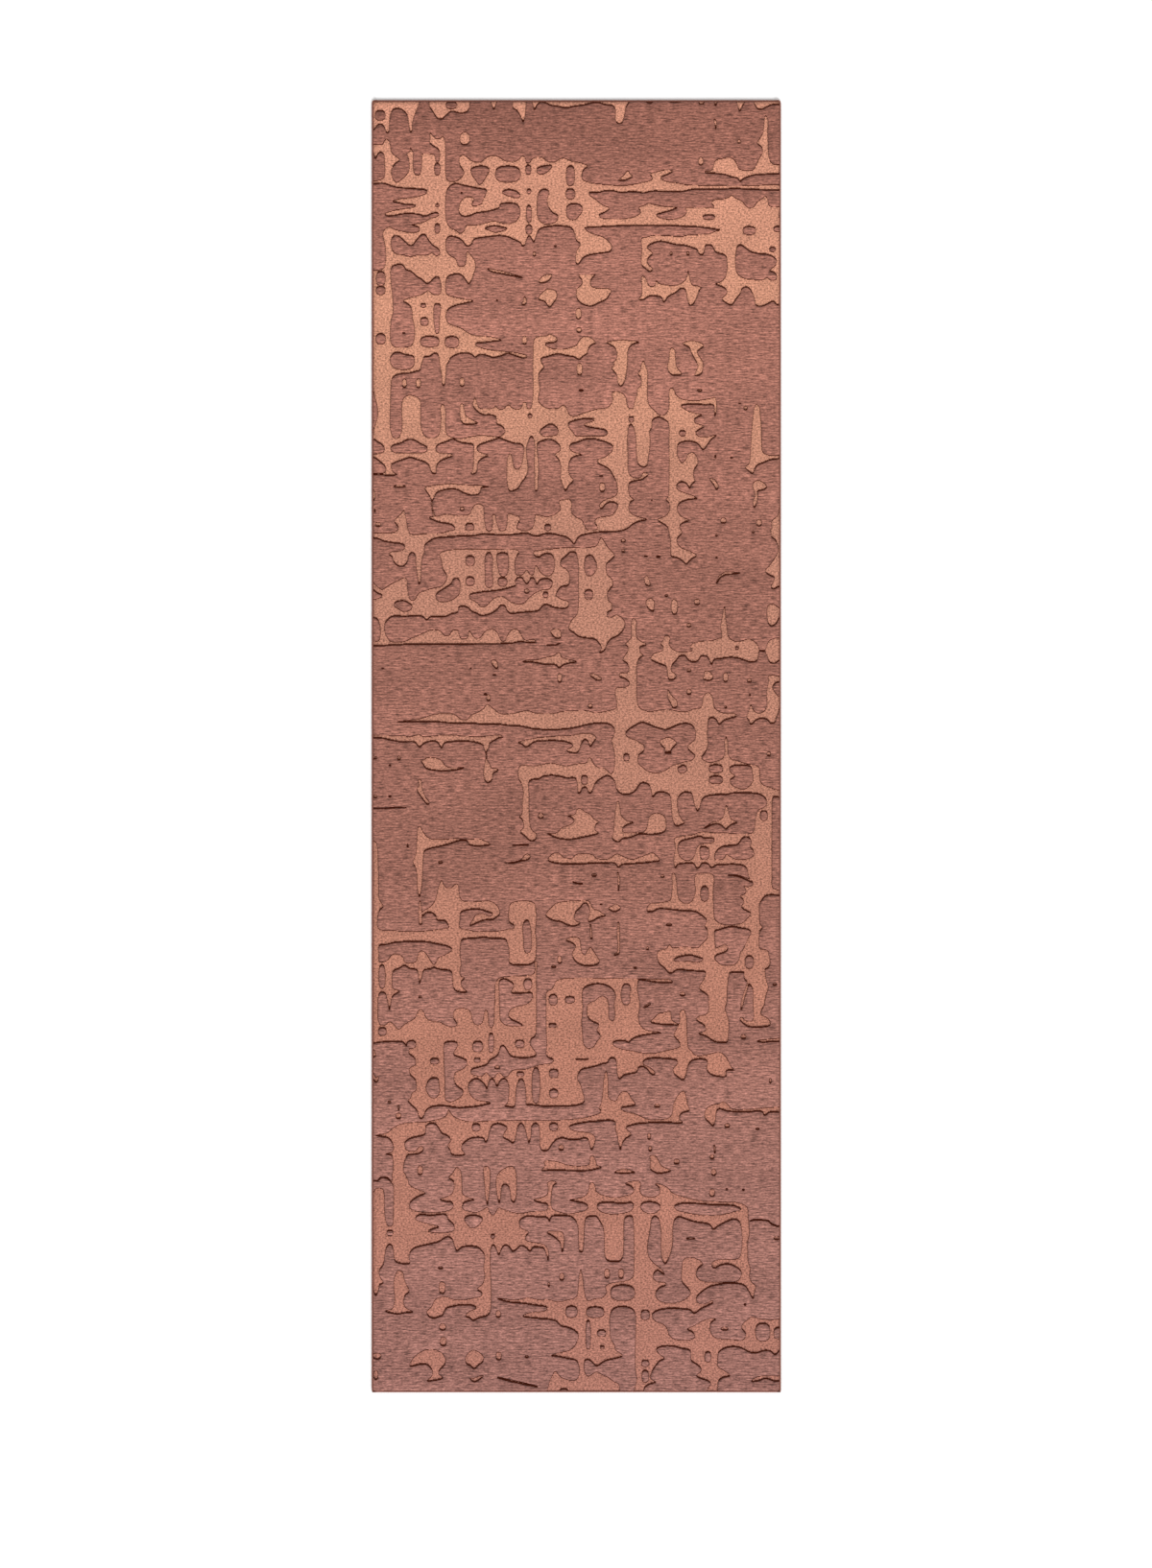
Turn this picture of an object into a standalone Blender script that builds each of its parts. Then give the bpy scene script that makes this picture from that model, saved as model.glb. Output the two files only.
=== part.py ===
# Runner rug: a jacquard-woven runner with a raised chenille figure, finished with an overlocked edge.
#
# Frame: the rug lies face up on the XY plane. +Y runs along its length towards the head end, +X across
# its width, +Z up. The origin is the middle of the underside, on the floor.

import math

import bmesh
import bpy
from mathutils import Vector

# Overall size, over the overlocked edge.
WIDTH = 0.760
LENGTH = 2.400
HEAD_CORNER_RADIUS = 0.0070
FOOT_CORNER_RADIUS = 0.0040
LEAST_CORNER_RADIUS = 0.0003
CORNER_STEPS = 5

# Layers, from the floor up. Each lies on the one below with a small clearance.
CLEARANCE = 0.0003
BACKING_THICKNESS = 0.0020
LATEX_THICKNESS = 0.0008
GROUND_THICKNESS = 0.0020
PILE_HEIGHT = 0.0020

# The overlock is a yarn wrapped round the raw edge of the ground cloth, as a channel with two legs.
OVERLOCK_WALL = 0.0008
OVERLOCK_REACH = 0.0024
OVERLOCK_ROUND_STEPS = 3
NEEDLE_THREAD_DIAMETER = 0.0005
TACK_LENGTH = 0.0060
TACK_WIDTH = 0.0012
TACK_THICKNESS = 0.0005

# The outline yarn is a dark float that lies along the foot side of each long recess.
OUTLINE_DIAMETER = 0.0012
OUTLINE_LEAST_SQUARES = 10

# The chenille is whole along its outer edge, where the overlock is sewn.
PILE_RIM = 0.0030

# The care label is sewn flat into the felted backing, near the foot end.
LABEL_SIZE = (0.060, 0.034)
LABEL_THICKNESS = 0.0004
LABEL_FROM_SIDE = 0.070
LABEL_FROM_FOOT = 0.060
STITCH_WIDTH = 0.0006
STITCH_THICKNESS = 0.0003
STITCH_FROM_LABEL_SIDE = 0.0020
STITCH_FROM_LABEL_END = 0.0040
LABEL_LIFT = 0.0001

# The figure is drawn on point paper: columns across the width, rows along the length from the foot end.
COLUMNS = 38
ROWS = 120
SQUARE_X = WIDTH / COLUMNS
SQUARE_Y = LENGTH / ROWS
ROUND_END_STEPS = 5

# Heights that follow from the layers.
LATEX_BOTTOM = BACKING_THICKNESS + CLEARANCE
GROUND_BOTTOM = LATEX_BOTTOM + LATEX_THICKNESS + CLEARANCE
GROUND_TOP = GROUND_BOTTOM + GROUND_THICKNESS
PILE_BOTTOM = GROUND_TOP + CLEARANCE
PILE_TOP = PILE_BOTTOM + PILE_HEIGHT

# Insets from the outer edge.
GROUND_INSET = OVERLOCK_WALL + CLEARANCE
THREAD_INSET = OVERLOCK_REACH + CLEARANCE + NEEDLE_THREAD_DIAMETER / 2
PILE_INSET = THREAD_INSET + NEEDLE_THREAD_DIAMETER / 2 + CLEARANCE
BACKING_INSET = OVERLOCK_REACH + CLEARANCE

# Flat-woven recesses in the chenille, in squares: a bar from (x, y) to (x, y) with round ends and a width.
RECESSES_ACROSS = [
    (-1.0, 119.8, 4.4, 119.8, 1.2),
    (15.5, 120.2, 22.2, 120.2, 1.4),
    (3.6, 113.3, 5.4, 113.3, 2.4),
    (9.2, 114.0, 19.0, 114.0, 0.9),
    (7.6, 112.4, 18.8, 112.4, 1.1),
    (8.8, 110.7, 14.4, 110.7, 1.0),
    (26.6, 113.2, 37.0, 113.2, 0.5),
    (19.4, 112.0, 39.0, 112.0, 0.5),
    (20.6, 110.0, 39.0, 110.0, 0.9),
    (31.6, 108.3, 39.0, 108.3, 1.5),
    (2.8, 109.2, 5.0, 109.2, 0.5),
    (1.8, 105.0, 8.6, 105.0, 1.0),
    (26.2, 107.4, 30.6, 107.4, 0.6),
    (33.4, 102.4, 39.0, 102.4, 1.1),
    (26.0, 102.4, 29.8, 102.4, 0.8),
    (3.6, 101.5, 8.2, 101.5, 0.7),
    (5.0, 97.6, 11.2, 97.6, 0.7),
    (0.0, 96.6, 6.4, 96.6, 0.7),
    (15.6, 97.3, 19.6, 97.3, 0.6),
    (12.0, 90.6, 21.4, 90.6, 1.2),
    (-1.0, 88.9, 12.0, 88.9, 0.5),
    (-1.0, 87.3, 9.8, 87.3, 0.5),
    (5.6, 84.2, 9.6, 84.2, 0.5),
    (14.8, 81.2, 23.6, 81.2, 1.1),
    (-1.0, 79.6, 17.4, 79.6, 0.5),
    (-1.0, 73.6, 16.6, 73.6, 0.9),
    (4.4, 70.2, 12.8, 70.2, 0.6),
    (14.4, 78.2, 20.4, 78.2, 0.5),
    (30.6, 69.4, 35.2, 69.4, 1.2),
    (15.4, 68.0, 18.4, 68.0, 0.5),
    (4.8, 62.8, 33.0, 62.8, 0.9),
    (14.2, 57.9, 21.4, 57.9, 0.8),
    (29.6, 57.0, 39.0, 57.0, 0.8),
    (0.0, 61.0, 11.0, 61.0, 0.4),
    (17.2, 49.6, 25.6, 49.6, 0.5),
    (18.0, 52.3, 20.4, 52.3, 0.8),
    (9.2, 42.9, 13.2, 42.9, 0.7),
    (-1.0, 42.6, 6.8, 42.6, 0.6),
    (17.0, 44.6, 19.6, 44.6, 1.1),
    (1.0, 33.9, 10.8, 33.9, 1.1),
    (16.6, 38.1, 24.0, 38.1, 0.6),
    (10.6, 26.9, 19.2, 26.9, 0.6),
    (16.8, 25.5, 28.6, 25.5, 0.5),
    (32.0, 26.4, 39.0, 26.4, 0.5),
    (4.0, 24.9, 18.0, 24.9, 0.5),
    (9.2, 15.0, 13.8, 15.0, 1.6),
    (16.6, 17.8, 33.8, 17.8, 0.5),
    (16.8, 21.2, 20.4, 21.2, 0.5),
    (13.2, 8.2, 24.0, 8.2, 0.5),
    (17.2, 4.0, 22.2, 4.0, 0.6),
    (27.0, 5.0, 39.0, 5.0, 0.8),
    (17.4, 1.2, 21.6, 1.2, 1.3),
]
RECESSES_ALONG = [
    (0.8, 88.4, 0.8, 101.6, 1.4),
    (1.5, 101.0, 1.5, 112.4, 0.4),
    (5.3, 104.6, 5.3, 115.2, 0.9),
    (6.6, 106.4, 6.6, 116.4, 0.35),
    (14.9, 106.6, 14.9, 114.4, 0.35),
    (19.4, 105.4, 19.4, 112.6, 0.7),
    (36.6, 113.4, 36.6, 118.6, 0.5),
    (25.2, 102.2, 25.2, 107.2, 0.6),
    (33.5, 101.8, 33.5, 107.8, 0.8),
    (20.3, 101.6, 20.3, 103.4, 1.4),
    (15.3, 84.0, 15.3, 97.6, 0.4),
    (23.2, 94.0, 23.2, 97.4, 0.8),
    (25.2, 91.2, 25.2, 95.6, 0.6),
    (3.7, 88.6, 3.7, 92.2, 1.5),
    (22.9, 79.8, 22.9, 92.4, 1.3),
    (25.1, 86.6, 25.1, 91.0, 0.8),
    (28.4, 78.4, 28.4, 92.8, 1.0),
    (35.7, 86.4, 35.7, 91.6, 0.8),
    (17.7, 84.6, 17.7, 90.2, 0.7),
    (13.6, 84.2, 13.6, 86.8, 1.1),
    (4.4, 74.6, 4.4, 80.4, 0.5),
    (8.6, 73.6, 8.6, 78.0, 3.2),
    (20.6, 71.2, 20.6, 78.4, 2.2),
    (24.1, 57.0, 24.1, 71.0, 1.1),
    (31.2, 56.4, 31.2, 64.4, 0.9),
    (36.8, 44.0, 36.8, 56.6, 0.9),
    (14.3, 51.6, 14.3, 57.6, 0.6),
    (4.5, 46.6, 4.5, 52.0, 0.4),
    (0.9, 43.4, 0.9, 51.0, 0.5),
    (7.4, 33.8, 7.4, 46.8, 1.4),
    (13.9, 40.8, 13.9, 45.2, 1.9),
    (28.1, 40.2, 28.1, 50.4, 0.4),
    (32.4, 33.2, 32.4, 43.6, 1.4),
    (35.6, 34.6, 35.6, 43.0, 0.9),
    (17.9, 27.0, 17.9, 38.0, 3.2),
    (24.2, 30.4, 24.2, 38.0, 1.4),
    (8.6, 27.4, 8.6, 33.6, 2.4),
    (2.5, 12.6, 2.5, 25.0, 1.0),
    (0.4, 11.0, 0.4, 18.4, 1.2),
    (10.8, 7.4, 10.8, 15.6, 0.5),
    (7.9, 14.8, 7.9, 20.6, 0.7),
    (22.5, 12.6, 22.5, 17.6, 1.5),
    (25.3, -1.0, 25.3, 19.2, 1.3),
    (27.6, 12.6, 27.6, 18.0, 0.7),
    (31.0, -1.0, 31.0, 5.0, 1.1),
    (34.6, 9.6, 34.6, 17.8, 0.4),
]
# Islands of chenille that stand inside the wide recesses: middle x and y, length across and along.
ISLANDS = [
    (10.2, 112.4, 1.1, 0.6),
    (12.8, 112.4, 1.6, 0.6),
    (16.0, 112.4, 0.9, 0.6),
    (34.8, 108.3, 1.1, 0.7),
    (0.8, 97.9, 0.7, 0.8),
    (0.8, 92.0, 0.6, 1.8),
    (16.8, 90.6, 1.4, 0.6),
    (20.2, 77.0, 1.0, 1.6),
    (20.2, 74.3, 0.8, 0.8),
    (9.2, 77.0, 0.9, 0.8),
    (9.2, 75.4, 0.8, 0.5),
    (14.2, 42.2, 0.7, 2.6),
    (18.4, 30.0, 0.7, 0.8),
    (18.4, 36.6, 0.8, 0.7),
    (17.2, 33.8, 0.8, 2.2),
    (8.9, 32.4, 0.8, 0.9),
    (8.2, 28.6, 0.9, 1.0),
]


def clear_scene():
    for obj in list(bpy.data.objects):
        bpy.data.objects.remove(obj)


def make_material(name, colour, roughness):
    material = bpy.data.materials.new(name)
    material.use_nodes = True
    shader = material.node_tree.nodes["Principled BSDF"]
    shader.inputs["Base Color"].default_value = (*colour, 1.0)
    shader.inputs["Roughness"].default_value = roughness
    shader.inputs["Metallic"].default_value = 0.0
    return material


def add_object(name, mesh, material):
    mesh.materials.append(material)
    obj = bpy.data.objects.new(name, mesh)
    bpy.context.scene.collection.objects.link(obj)
    return obj


def mesh_from(bm, name):
    bmesh.ops.recalc_face_normals(bm, faces=bm.faces)
    mesh = bpy.data.meshes.new(name)
    bm.to_mesh(mesh)
    bm.free()
    return mesh


def face_point(column, row):
    """Where a point on the point paper lies on the rug."""
    return Vector(((column - COLUMNS / 2) * SQUARE_X, (row - ROWS / 2) * SQUARE_Y))


def corner_arc(index, inset):
    """Points round one corner of the rug at an inset from its edge, anticlockwise from corner 0, head right."""
    side_x = 1 if index in (0, 3) else -1
    side_y = 1 if index in (0, 1) else -1
    edge_radius = HEAD_CORNER_RADIUS if side_y > 0 else FOOT_CORNER_RADIUS
    radius = max(edge_radius - inset, LEAST_CORNER_RADIUS)
    centre = Vector((side_x * (WIDTH / 2 - inset - radius), side_y * (LENGTH / 2 - inset - radius)))
    angles = [math.pi / 2 * (index + step / CORNER_STEPS) for step in range(CORNER_STEPS + 1)]
    return [centre + radius * Vector((math.cos(a), math.sin(a))) for a in angles]


def add_prism(bm, outline, bottom, top):
    """A closed prism over an outline that runs anticlockwise."""
    low = [bm.verts.new((*point, bottom)) for point in outline]
    high = [bm.verts.new((*point, top)) for point in outline]
    bm.faces.new(list(reversed(low)))
    bm.faces.new(high)
    for i, vertex in enumerate(low):
        j = (i + 1) % len(low)
        bm.faces.new([vertex, low[j], high[j], high[i]])


def box_outline(centre, size):
    half_x, half_y = size[0] / 2, size[1] / 2
    corners = [(-half_x, -half_y), (half_x, -half_y), (half_x, half_y), (-half_x, half_y)]
    return [Vector(centre) + Vector(corner) for corner in corners]


def layer(name, inset, bottom, thickness, material):
    """One cloth layer: a plate with the rug's own rounded corners."""
    outline = [point for index in range(4) for point in corner_arc(index, inset)]
    bm = bmesh.new()
    add_prism(bm, outline, bottom, bottom + thickness)
    return add_object(name, mesh_from(bm, name), material)


def bar_outline(start, end, width):
    """A bar with round ends, anticlockwise."""
    along = (end - start).normalized()
    across = Vector((-along.y, along.x)) * width / 2
    outward = along * width / 2
    angles = [math.pi * step / ROUND_END_STEPS for step in range(ROUND_END_STEPS + 1)]
    far_end = [end - across * math.cos(a) + outward * math.sin(a) for a in angles]
    near_end = [start + across * math.cos(a) - outward * math.sin(a) for a in angles]
    return far_end + near_end


def held_inside(point, margin):
    """The point, or the nearest one that leaves the chenille its whole rim with this margin."""
    reach_x = WIDTH / 2 - PILE_INSET - PILE_RIM - margin
    reach_y = LENGTH / 2 - PILE_INSET - PILE_RIM - margin
    return Vector((max(-reach_x, min(reach_x, point.x)), max(-reach_y, min(reach_y, point.y))))


def recess_bar(recess):
    """A recess as its two end points and its width."""
    x0, y0, x1, y1, squares = recess
    width = squares * (SQUARE_Y if y0 == y1 else SQUARE_X)
    ends = [held_inside(face_point(x, y), width / 2) for x, y in ((x0, y0), (x1, y1))]
    return ends[0], ends[1], width


def cutter_collection():
    """Every recess as a cutter, in a collection of its own that isn't part of the rug."""
    collection = bpy.data.collections.new("recess_cutters")
    bpy.context.scene.collection.children.link(collection)
    for index, recess in enumerate(RECESSES_ACROSS + RECESSES_ALONG):
        bm = bmesh.new()
        outline = bar_outline(*recess_bar(recess))
        add_prism(bm, outline, PILE_BOTTOM - PILE_HEIGHT, PILE_TOP + PILE_HEIGHT)
        name = f"recess_cutter_{index}"
        collection.objects.link(as_cutter(bpy.data.objects.new(name, mesh_from(bm, name))))
    return collection


def as_cutter(obj):
    obj.hide_render = True
    obj.display_type = "WIRE"
    return obj


def pile_field(material):
    """The raised chenille, cut away wherever the flat ground cloth shows."""
    field = layer("pile_field", PILE_INSET, PILE_BOTTOM, PILE_HEIGHT, material)
    cut = field.modifiers.new("recesses", "BOOLEAN")
    cut.operation = "DIFFERENCE"
    cut.solver = "EXACT"
    cut.operand_type = "COLLECTION"
    cut.collection = cutter_collection()
    return field


def pile_islands(material):
    """Small patches of the raised chenille, each alone in a recess."""
    for number, (x, y, across, along) in enumerate(ISLANDS, 1):
        size = Vector((across * SQUARE_X, along * SQUARE_Y))
        width = min(size)
        half = (size - Vector((width, width))) / 2
        if not any(half):
            half.x = CLEARANCE
        centre = face_point(x, y)
        name = f"pile_island_{number:02d}"
        bm = bmesh.new()
        add_prism(bm, bar_outline(centre - half, centre + half, width), PILE_BOTTOM, PILE_TOP)
        add_object(name, mesh_from(bm, name), material)


def outline_floats(material):
    """A dark float along the foot side of each long recess, clear of the chenille, numbered from the head."""
    long_ones = [recess for recess in RECESSES_ACROSS if recess[2] - recess[0] >= OUTLINE_LEAST_SQUARES]
    for number, recess in enumerate(long_ones, 1):
        start, end, width = recess_bar(recess)
        centre = ((start.x + end.x) / 2, start.y - width / 2 + CLEARANCE + OUTLINE_DIAMETER / 2)
        name = f"outline_float_{number:02d}"
        bm = bmesh.new()
        outline = box_outline(centre, (end.x - start.x, OUTLINE_DIAMETER))
        add_prism(bm, outline, PILE_BOTTOM, PILE_BOTTOM + OUTLINE_DIAMETER)
        add_object(name, mesh_from(bm, name), material)


def overlock_profile():
    """The wrapped yarn's section as (inset from the edge, height), a channel open towards the rug's middle."""
    inner_low = LATEX_BOTTOM - CLEARANCE
    inner_high = GROUND_TOP + CLEARANCE
    quarter = [math.pi / 2 * step / OVERLOCK_ROUND_STEPS for step in range(OVERLOCK_ROUND_STEPS + 1)]
    low_round = [
        (OVERLOCK_WALL * (1 - math.sin(a)), inner_low - OVERLOCK_WALL * math.cos(a)) for a in quarter
    ]
    high_round = [
        (OVERLOCK_WALL * (1 - math.cos(a)), inner_high + OVERLOCK_WALL * math.sin(a)) for a in quarter
    ]
    legs = [
        (OVERLOCK_REACH, inner_high + OVERLOCK_WALL),
        (OVERLOCK_REACH, inner_high),
        (OVERLOCK_WALL, inner_high),
        (OVERLOCK_WALL, inner_low),
        (OVERLOCK_REACH, inner_low),
        (OVERLOCK_REACH, inner_low - OVERLOCK_WALL),
    ]
    return low_round + high_round + legs


def thread_profile():
    radius = NEEDLE_THREAD_DIAMETER / 2
    centre = GROUND_TOP + CLEARANCE + radius
    turns = [math.tau * step / 6 for step in range(6)]
    return [(THREAD_INSET + radius * math.cos(a), centre + radius * math.sin(a)) for a in turns]


def sweep(name, stations, profile, material):
    """Carries a section along stations, each a function that gives the plan point at an inset."""
    bm = bmesh.new()
    rings = [[bm.verts.new((*station(inset), height)) for inset, height in profile] for station in stations]
    for ring, following in zip(rings, rings[1:]):
        for i, vertex in enumerate(ring):
            j = (i + 1) % len(ring)
            bm.faces.new([vertex, ring[j], following[j], following[i]])
    bm.faces.new(rings[0])
    bm.faces.new(rings[-1])
    return add_object(name, mesh_from(bm, name), material)


def side_stations(side):
    """Stations up one long side, round both of its corners. Side 1 is the right, side -1 the left."""
    corners = (3, 0) if side > 0 else (1, 2)
    return [
        lambda inset, index=index, step=step: corner_arc(index, inset)[step]
        for index in corners
        for step in range(CORNER_STEPS + 1)
    ]


def end_stations(end):
    """Stations along one end, between its corners. End 1 is the head, end -1 the foot."""
    radius = HEAD_CORNER_RADIUS if end > 0 else FOOT_CORNER_RADIUS
    half = WIDTH / 2 - radius - CLEARANCE
    return [
        lambda inset, x=x: Vector((x, end * (LENGTH / 2 - inset)))
        for x in (-half, half)
    ]


def edge_finish(overlock_material, thread_material):
    """The overlock and its needle thread, sewn in four runs."""
    runs = {
        "right": side_stations(1),
        "left": side_stations(-1),
        "head": end_stations(1),
        "foot": end_stations(-1),
    }
    for run, stations in runs.items():
        sweep(f"overlock_{run}", stations, overlock_profile(), overlock_material)
        sweep(f"needle_thread_{run}", stations, thread_profile(), thread_material)


def corner_tacks(material):
    """A bar tack over each place where an end run of the overlock meets a side run."""
    bottom = GROUND_TOP + OVERLOCK_WALL + 2 * CLEARANCE
    for end, end_name, radius in ((1, "head", HEAD_CORNER_RADIUS), (-1, "foot", FOOT_CORNER_RADIUS)):
        for side, side_name in ((1, "right"), (-1, "left")):
            centre = (side * (WIDTH / 2 - radius), end * (LENGTH / 2 - OVERLOCK_REACH / 2))
            name = f"corner_tack_{end_name}_{side_name}"
            bm = bmesh.new()
            outline = box_outline(centre, (TACK_LENGTH, TACK_WIDTH))
            add_prism(bm, outline, bottom, bottom + TACK_THICKNESS)
            add_object(name, mesh_from(bm, name), material)


def label_centre():
    return Vector((
        WIDTH / 2 - LABEL_FROM_SIDE - LABEL_SIZE[0] / 2,
        -LENGTH / 2 + LABEL_FROM_FOOT + LABEL_SIZE[1] / 2,
    ))


def backing_cloth(material):
    """The felted backing, pressed in under the care label."""
    backing = layer("backing_cloth", BACKING_INSET, 0, BACKING_THICKNESS, material)
    depth = LABEL_LIFT + STITCH_THICKNESS + LABEL_THICKNESS + 2 * CLEARANCE
    size = [side + 2 * CLEARANCE for side in LABEL_SIZE]
    bm = bmesh.new()
    add_prism(bm, box_outline(label_centre(), size), -depth, depth)
    cutter = as_cutter(bpy.data.objects.new("label_cutter", mesh_from(bm, "label_cutter")))
    bpy.context.scene.collection.objects.link(cutter)
    cut = backing.modifiers.new("label_seat", "BOOLEAN")
    cut.operation = "DIFFERENCE"
    cut.solver = "EXACT"
    cut.object = cutter
    return backing


def care_label(label_material, thread_material):
    """A blank label and the row of stitches that holds each end of it."""
    bottom = LABEL_LIFT + STITCH_THICKNESS + CLEARANCE
    bm = bmesh.new()
    add_prism(bm, box_outline(label_centre(), LABEL_SIZE), bottom, bottom + LABEL_THICKNESS)
    add_object("care_label", mesh_from(bm, "care_label"), label_material)
    for side, side_name in ((1, "right"), (-1, "left")):
        offset = Vector((side * (LABEL_SIZE[0] / 2 - STITCH_FROM_LABEL_END), 0))
        outline = box_outline(
            label_centre() + offset, (STITCH_WIDTH, LABEL_SIZE[1] - 2 * STITCH_FROM_LABEL_SIDE)
        )
        name = f"label_seam_{side_name}"
        bm = bmesh.new()
        add_prism(bm, outline, LABEL_LIFT, LABEL_LIFT + STITCH_THICKNESS)
        add_object(name, mesh_from(bm, name), thread_material)


def main():
    clear_scene()
    chenille = make_material("chenille", (0.36, 0.17, 0.135), 0.85)
    ground = make_material("ground_cloth", (0.58, 0.27, 0.165), 0.8)
    outline = make_material("outline_yarn", (0.055, 0.016, 0.010), 0.85)
    overlock = make_material("overlock_yarn", (0.20, 0.075, 0.055), 0.8)
    thread = make_material("sewing_thread", (0.16, 0.06, 0.045), 0.6)
    felt = make_material("felted_backing", (0.55, 0.47, 0.38), 0.95)
    latex = make_material("latex", (0.70, 0.66, 0.58), 0.6)
    label = make_material("label_satin", (0.82, 0.80, 0.76), 0.45)

    backing_cloth(felt)
    layer("latex_coat", GROUND_INSET, LATEX_BOTTOM, LATEX_THICKNESS, latex)
    layer("ground_weave", GROUND_INSET, GROUND_BOTTOM, GROUND_THICKNESS, ground)
    pile_field(chenille)
    pile_islands(chenille)
    outline_floats(outline)
    edge_finish(overlock, thread)
    corner_tacks(thread)
    care_label(label, thread)


main()
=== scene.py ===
import math
import bpy
import numpy as np
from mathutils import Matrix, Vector
from mathutils.geometry import delaunay_2d_cdt


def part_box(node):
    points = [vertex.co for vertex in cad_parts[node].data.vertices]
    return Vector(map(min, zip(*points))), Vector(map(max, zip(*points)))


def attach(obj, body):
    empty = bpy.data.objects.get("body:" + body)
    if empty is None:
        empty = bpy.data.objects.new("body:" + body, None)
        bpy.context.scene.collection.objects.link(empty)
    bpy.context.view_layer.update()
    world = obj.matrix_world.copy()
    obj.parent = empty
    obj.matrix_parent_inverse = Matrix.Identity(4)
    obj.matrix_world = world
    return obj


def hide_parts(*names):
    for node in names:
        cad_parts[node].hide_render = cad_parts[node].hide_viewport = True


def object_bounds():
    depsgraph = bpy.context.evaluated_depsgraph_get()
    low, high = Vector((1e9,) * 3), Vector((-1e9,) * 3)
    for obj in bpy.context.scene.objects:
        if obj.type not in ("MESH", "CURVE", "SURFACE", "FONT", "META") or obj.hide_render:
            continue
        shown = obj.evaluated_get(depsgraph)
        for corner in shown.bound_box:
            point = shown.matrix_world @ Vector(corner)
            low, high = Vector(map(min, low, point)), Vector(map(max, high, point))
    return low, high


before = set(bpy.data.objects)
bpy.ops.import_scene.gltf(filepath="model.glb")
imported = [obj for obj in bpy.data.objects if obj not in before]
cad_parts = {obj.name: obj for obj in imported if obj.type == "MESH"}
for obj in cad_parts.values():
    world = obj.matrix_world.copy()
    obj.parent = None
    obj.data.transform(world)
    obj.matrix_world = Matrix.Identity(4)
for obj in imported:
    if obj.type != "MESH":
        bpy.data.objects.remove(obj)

# Runner rug seen from straight above. Everything is in metres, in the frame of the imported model:
# x across the rug, y along it towards the head end, z up from the floor.
boxLow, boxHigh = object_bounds()
rugWidth = boxHigh.x - boxLow.x
rugLength = boxHigh.y - boxLow.y

# The figure is drawn on point paper, in squares counted from the left edge and from the foot end.
columns = 38
rows = 120
samplesPerSquare = 20
squareX = rugWidth / columns
squareY = rugLength / rows


figure = np.zeros((rows * samplesPerSquare, columns * samplesPerSquare), np.float32)


def smoothLoop(points, steps=4):
    # a closed centripetal Catmull-Rom curve through the points
    p1 = np.array(points, float).reshape(-1, 2)
    p0, p2, p3 = np.roll(p1, 1, 0), np.roll(p1, -1, 0), np.roll(p1, -2, 0)
    pairs = ((p0, p1), (p1, p2), (p2, p3))
    gap01, gap12, gap23 = (
        np.maximum(np.linalg.norm(b - a, axis=1), 1e-4)[:, None] ** 0.5 for a, b in pairs
    )
    t1 = gap01
    t2 = t1 + gap12
    t3 = t2 + gap23
    curve = []
    for step in range(steps):
        t = t1 + gap12 * step / steps
        a1 = ((t1 - t) * p0 + t * p1) / gap01
        a2 = ((t2 - t) * p1 + (t - t1) * p2) / gap12
        a3 = ((t3 - t) * p2 + (t - t2) * p3) / gap23
        b1 = ((t2 - t) * a1 + t * a2) / t2
        b2 = ((t3 - t) * a2 + (t - t1) * a3) / (t3 - t1)
        curve.append(((t2 - t) * b1 + (t - t1) * b2) / gap12)
    return np.stack(curve, 1).reshape(-1, 2)


def fillShape(outline, value):
    # even-odd fill, two scan lines to a sample row, with part cover at both ends of each run
    height, width = figure.shape
    x, y = outline[:, 0] * samplesPerSquare, outline[:, 1] * samplesPerSquare
    nextX, nextY = np.roll(x, -1), np.roll(y, -1)
    firstRow, lastRow = max(int(y.min()), 0), min(int(math.ceil(y.max())), height)
    left = np.arange(width)
    for row in range(firstRow, lastRow):
        cover = np.zeros(width, np.float32)
        for line in (row + 0.25, row + 0.75):
            crossed = (y <= line) != (nextY <= line)
            slope = (nextX[crossed] - x[crossed]) / (nextY[crossed] - y[crossed])
            ends = np.sort(x[crossed] + (line - y[crossed]) * slope)
            for start, stop in zip(ends[::2], ends[1::2]):
                cover += 0.5 * np.clip(np.minimum(left + 1, stop) - np.maximum(left, start), 0, 1)
        figure[row] += cover * (value - figure[row])


def flat(*points):
    # an area of flat salmon weave
    fillShape(smoothLoop(points), 1)


def pile(*points):
    # an area of raised chenille
    fillShape(smoothLoop(points), 0)


def roundedBlock(x, y, across, along):
    angle = np.linspace(0, math.tau, 28, endpoint=False)
    cos, sin = np.cos(angle), np.sin(angle)
    return np.stack([
        x + across / 2 * np.sign(cos) * abs(cos) ** 0.77,
        y + along / 2 * np.sign(sin) * abs(sin) ** 0.77,
    ], 1)


def flatSpot(x, y, across, along):
    fillShape(roundedBlock(x, y, across, along), 1)


def pileIslet(x, y, across, along):
    fillShape(roundedBlock(x, y, across, along), 0)


def strokeShapes(numbers, value):
    # a run of straight strokes through (x, y, half width) points, with round ends
    points = np.array(numbers, float).reshape(-1, 3)
    turn = np.linspace(-math.pi / 2, math.pi / 2, 8)
    for start, stop in zip(points, points[1:]):
        heading = math.atan2(stop[1] - start[1], stop[0] - start[0])
        farEnd = stop[:2] + stop[2] * np.stack([np.cos(heading + turn), np.sin(heading + turn)], 1)
        nearEnd = start[:2] - start[2] * np.stack([np.cos(heading + turn), np.sin(heading + turn)], 1)
        fillShape(np.vstack([farEnd, nearEnd]), value)


def flatBar(*numbers):
    strokeShapes(numbers, 1)


def pileBar(*numbers):
    strokeShapes(numbers, 0)


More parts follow.
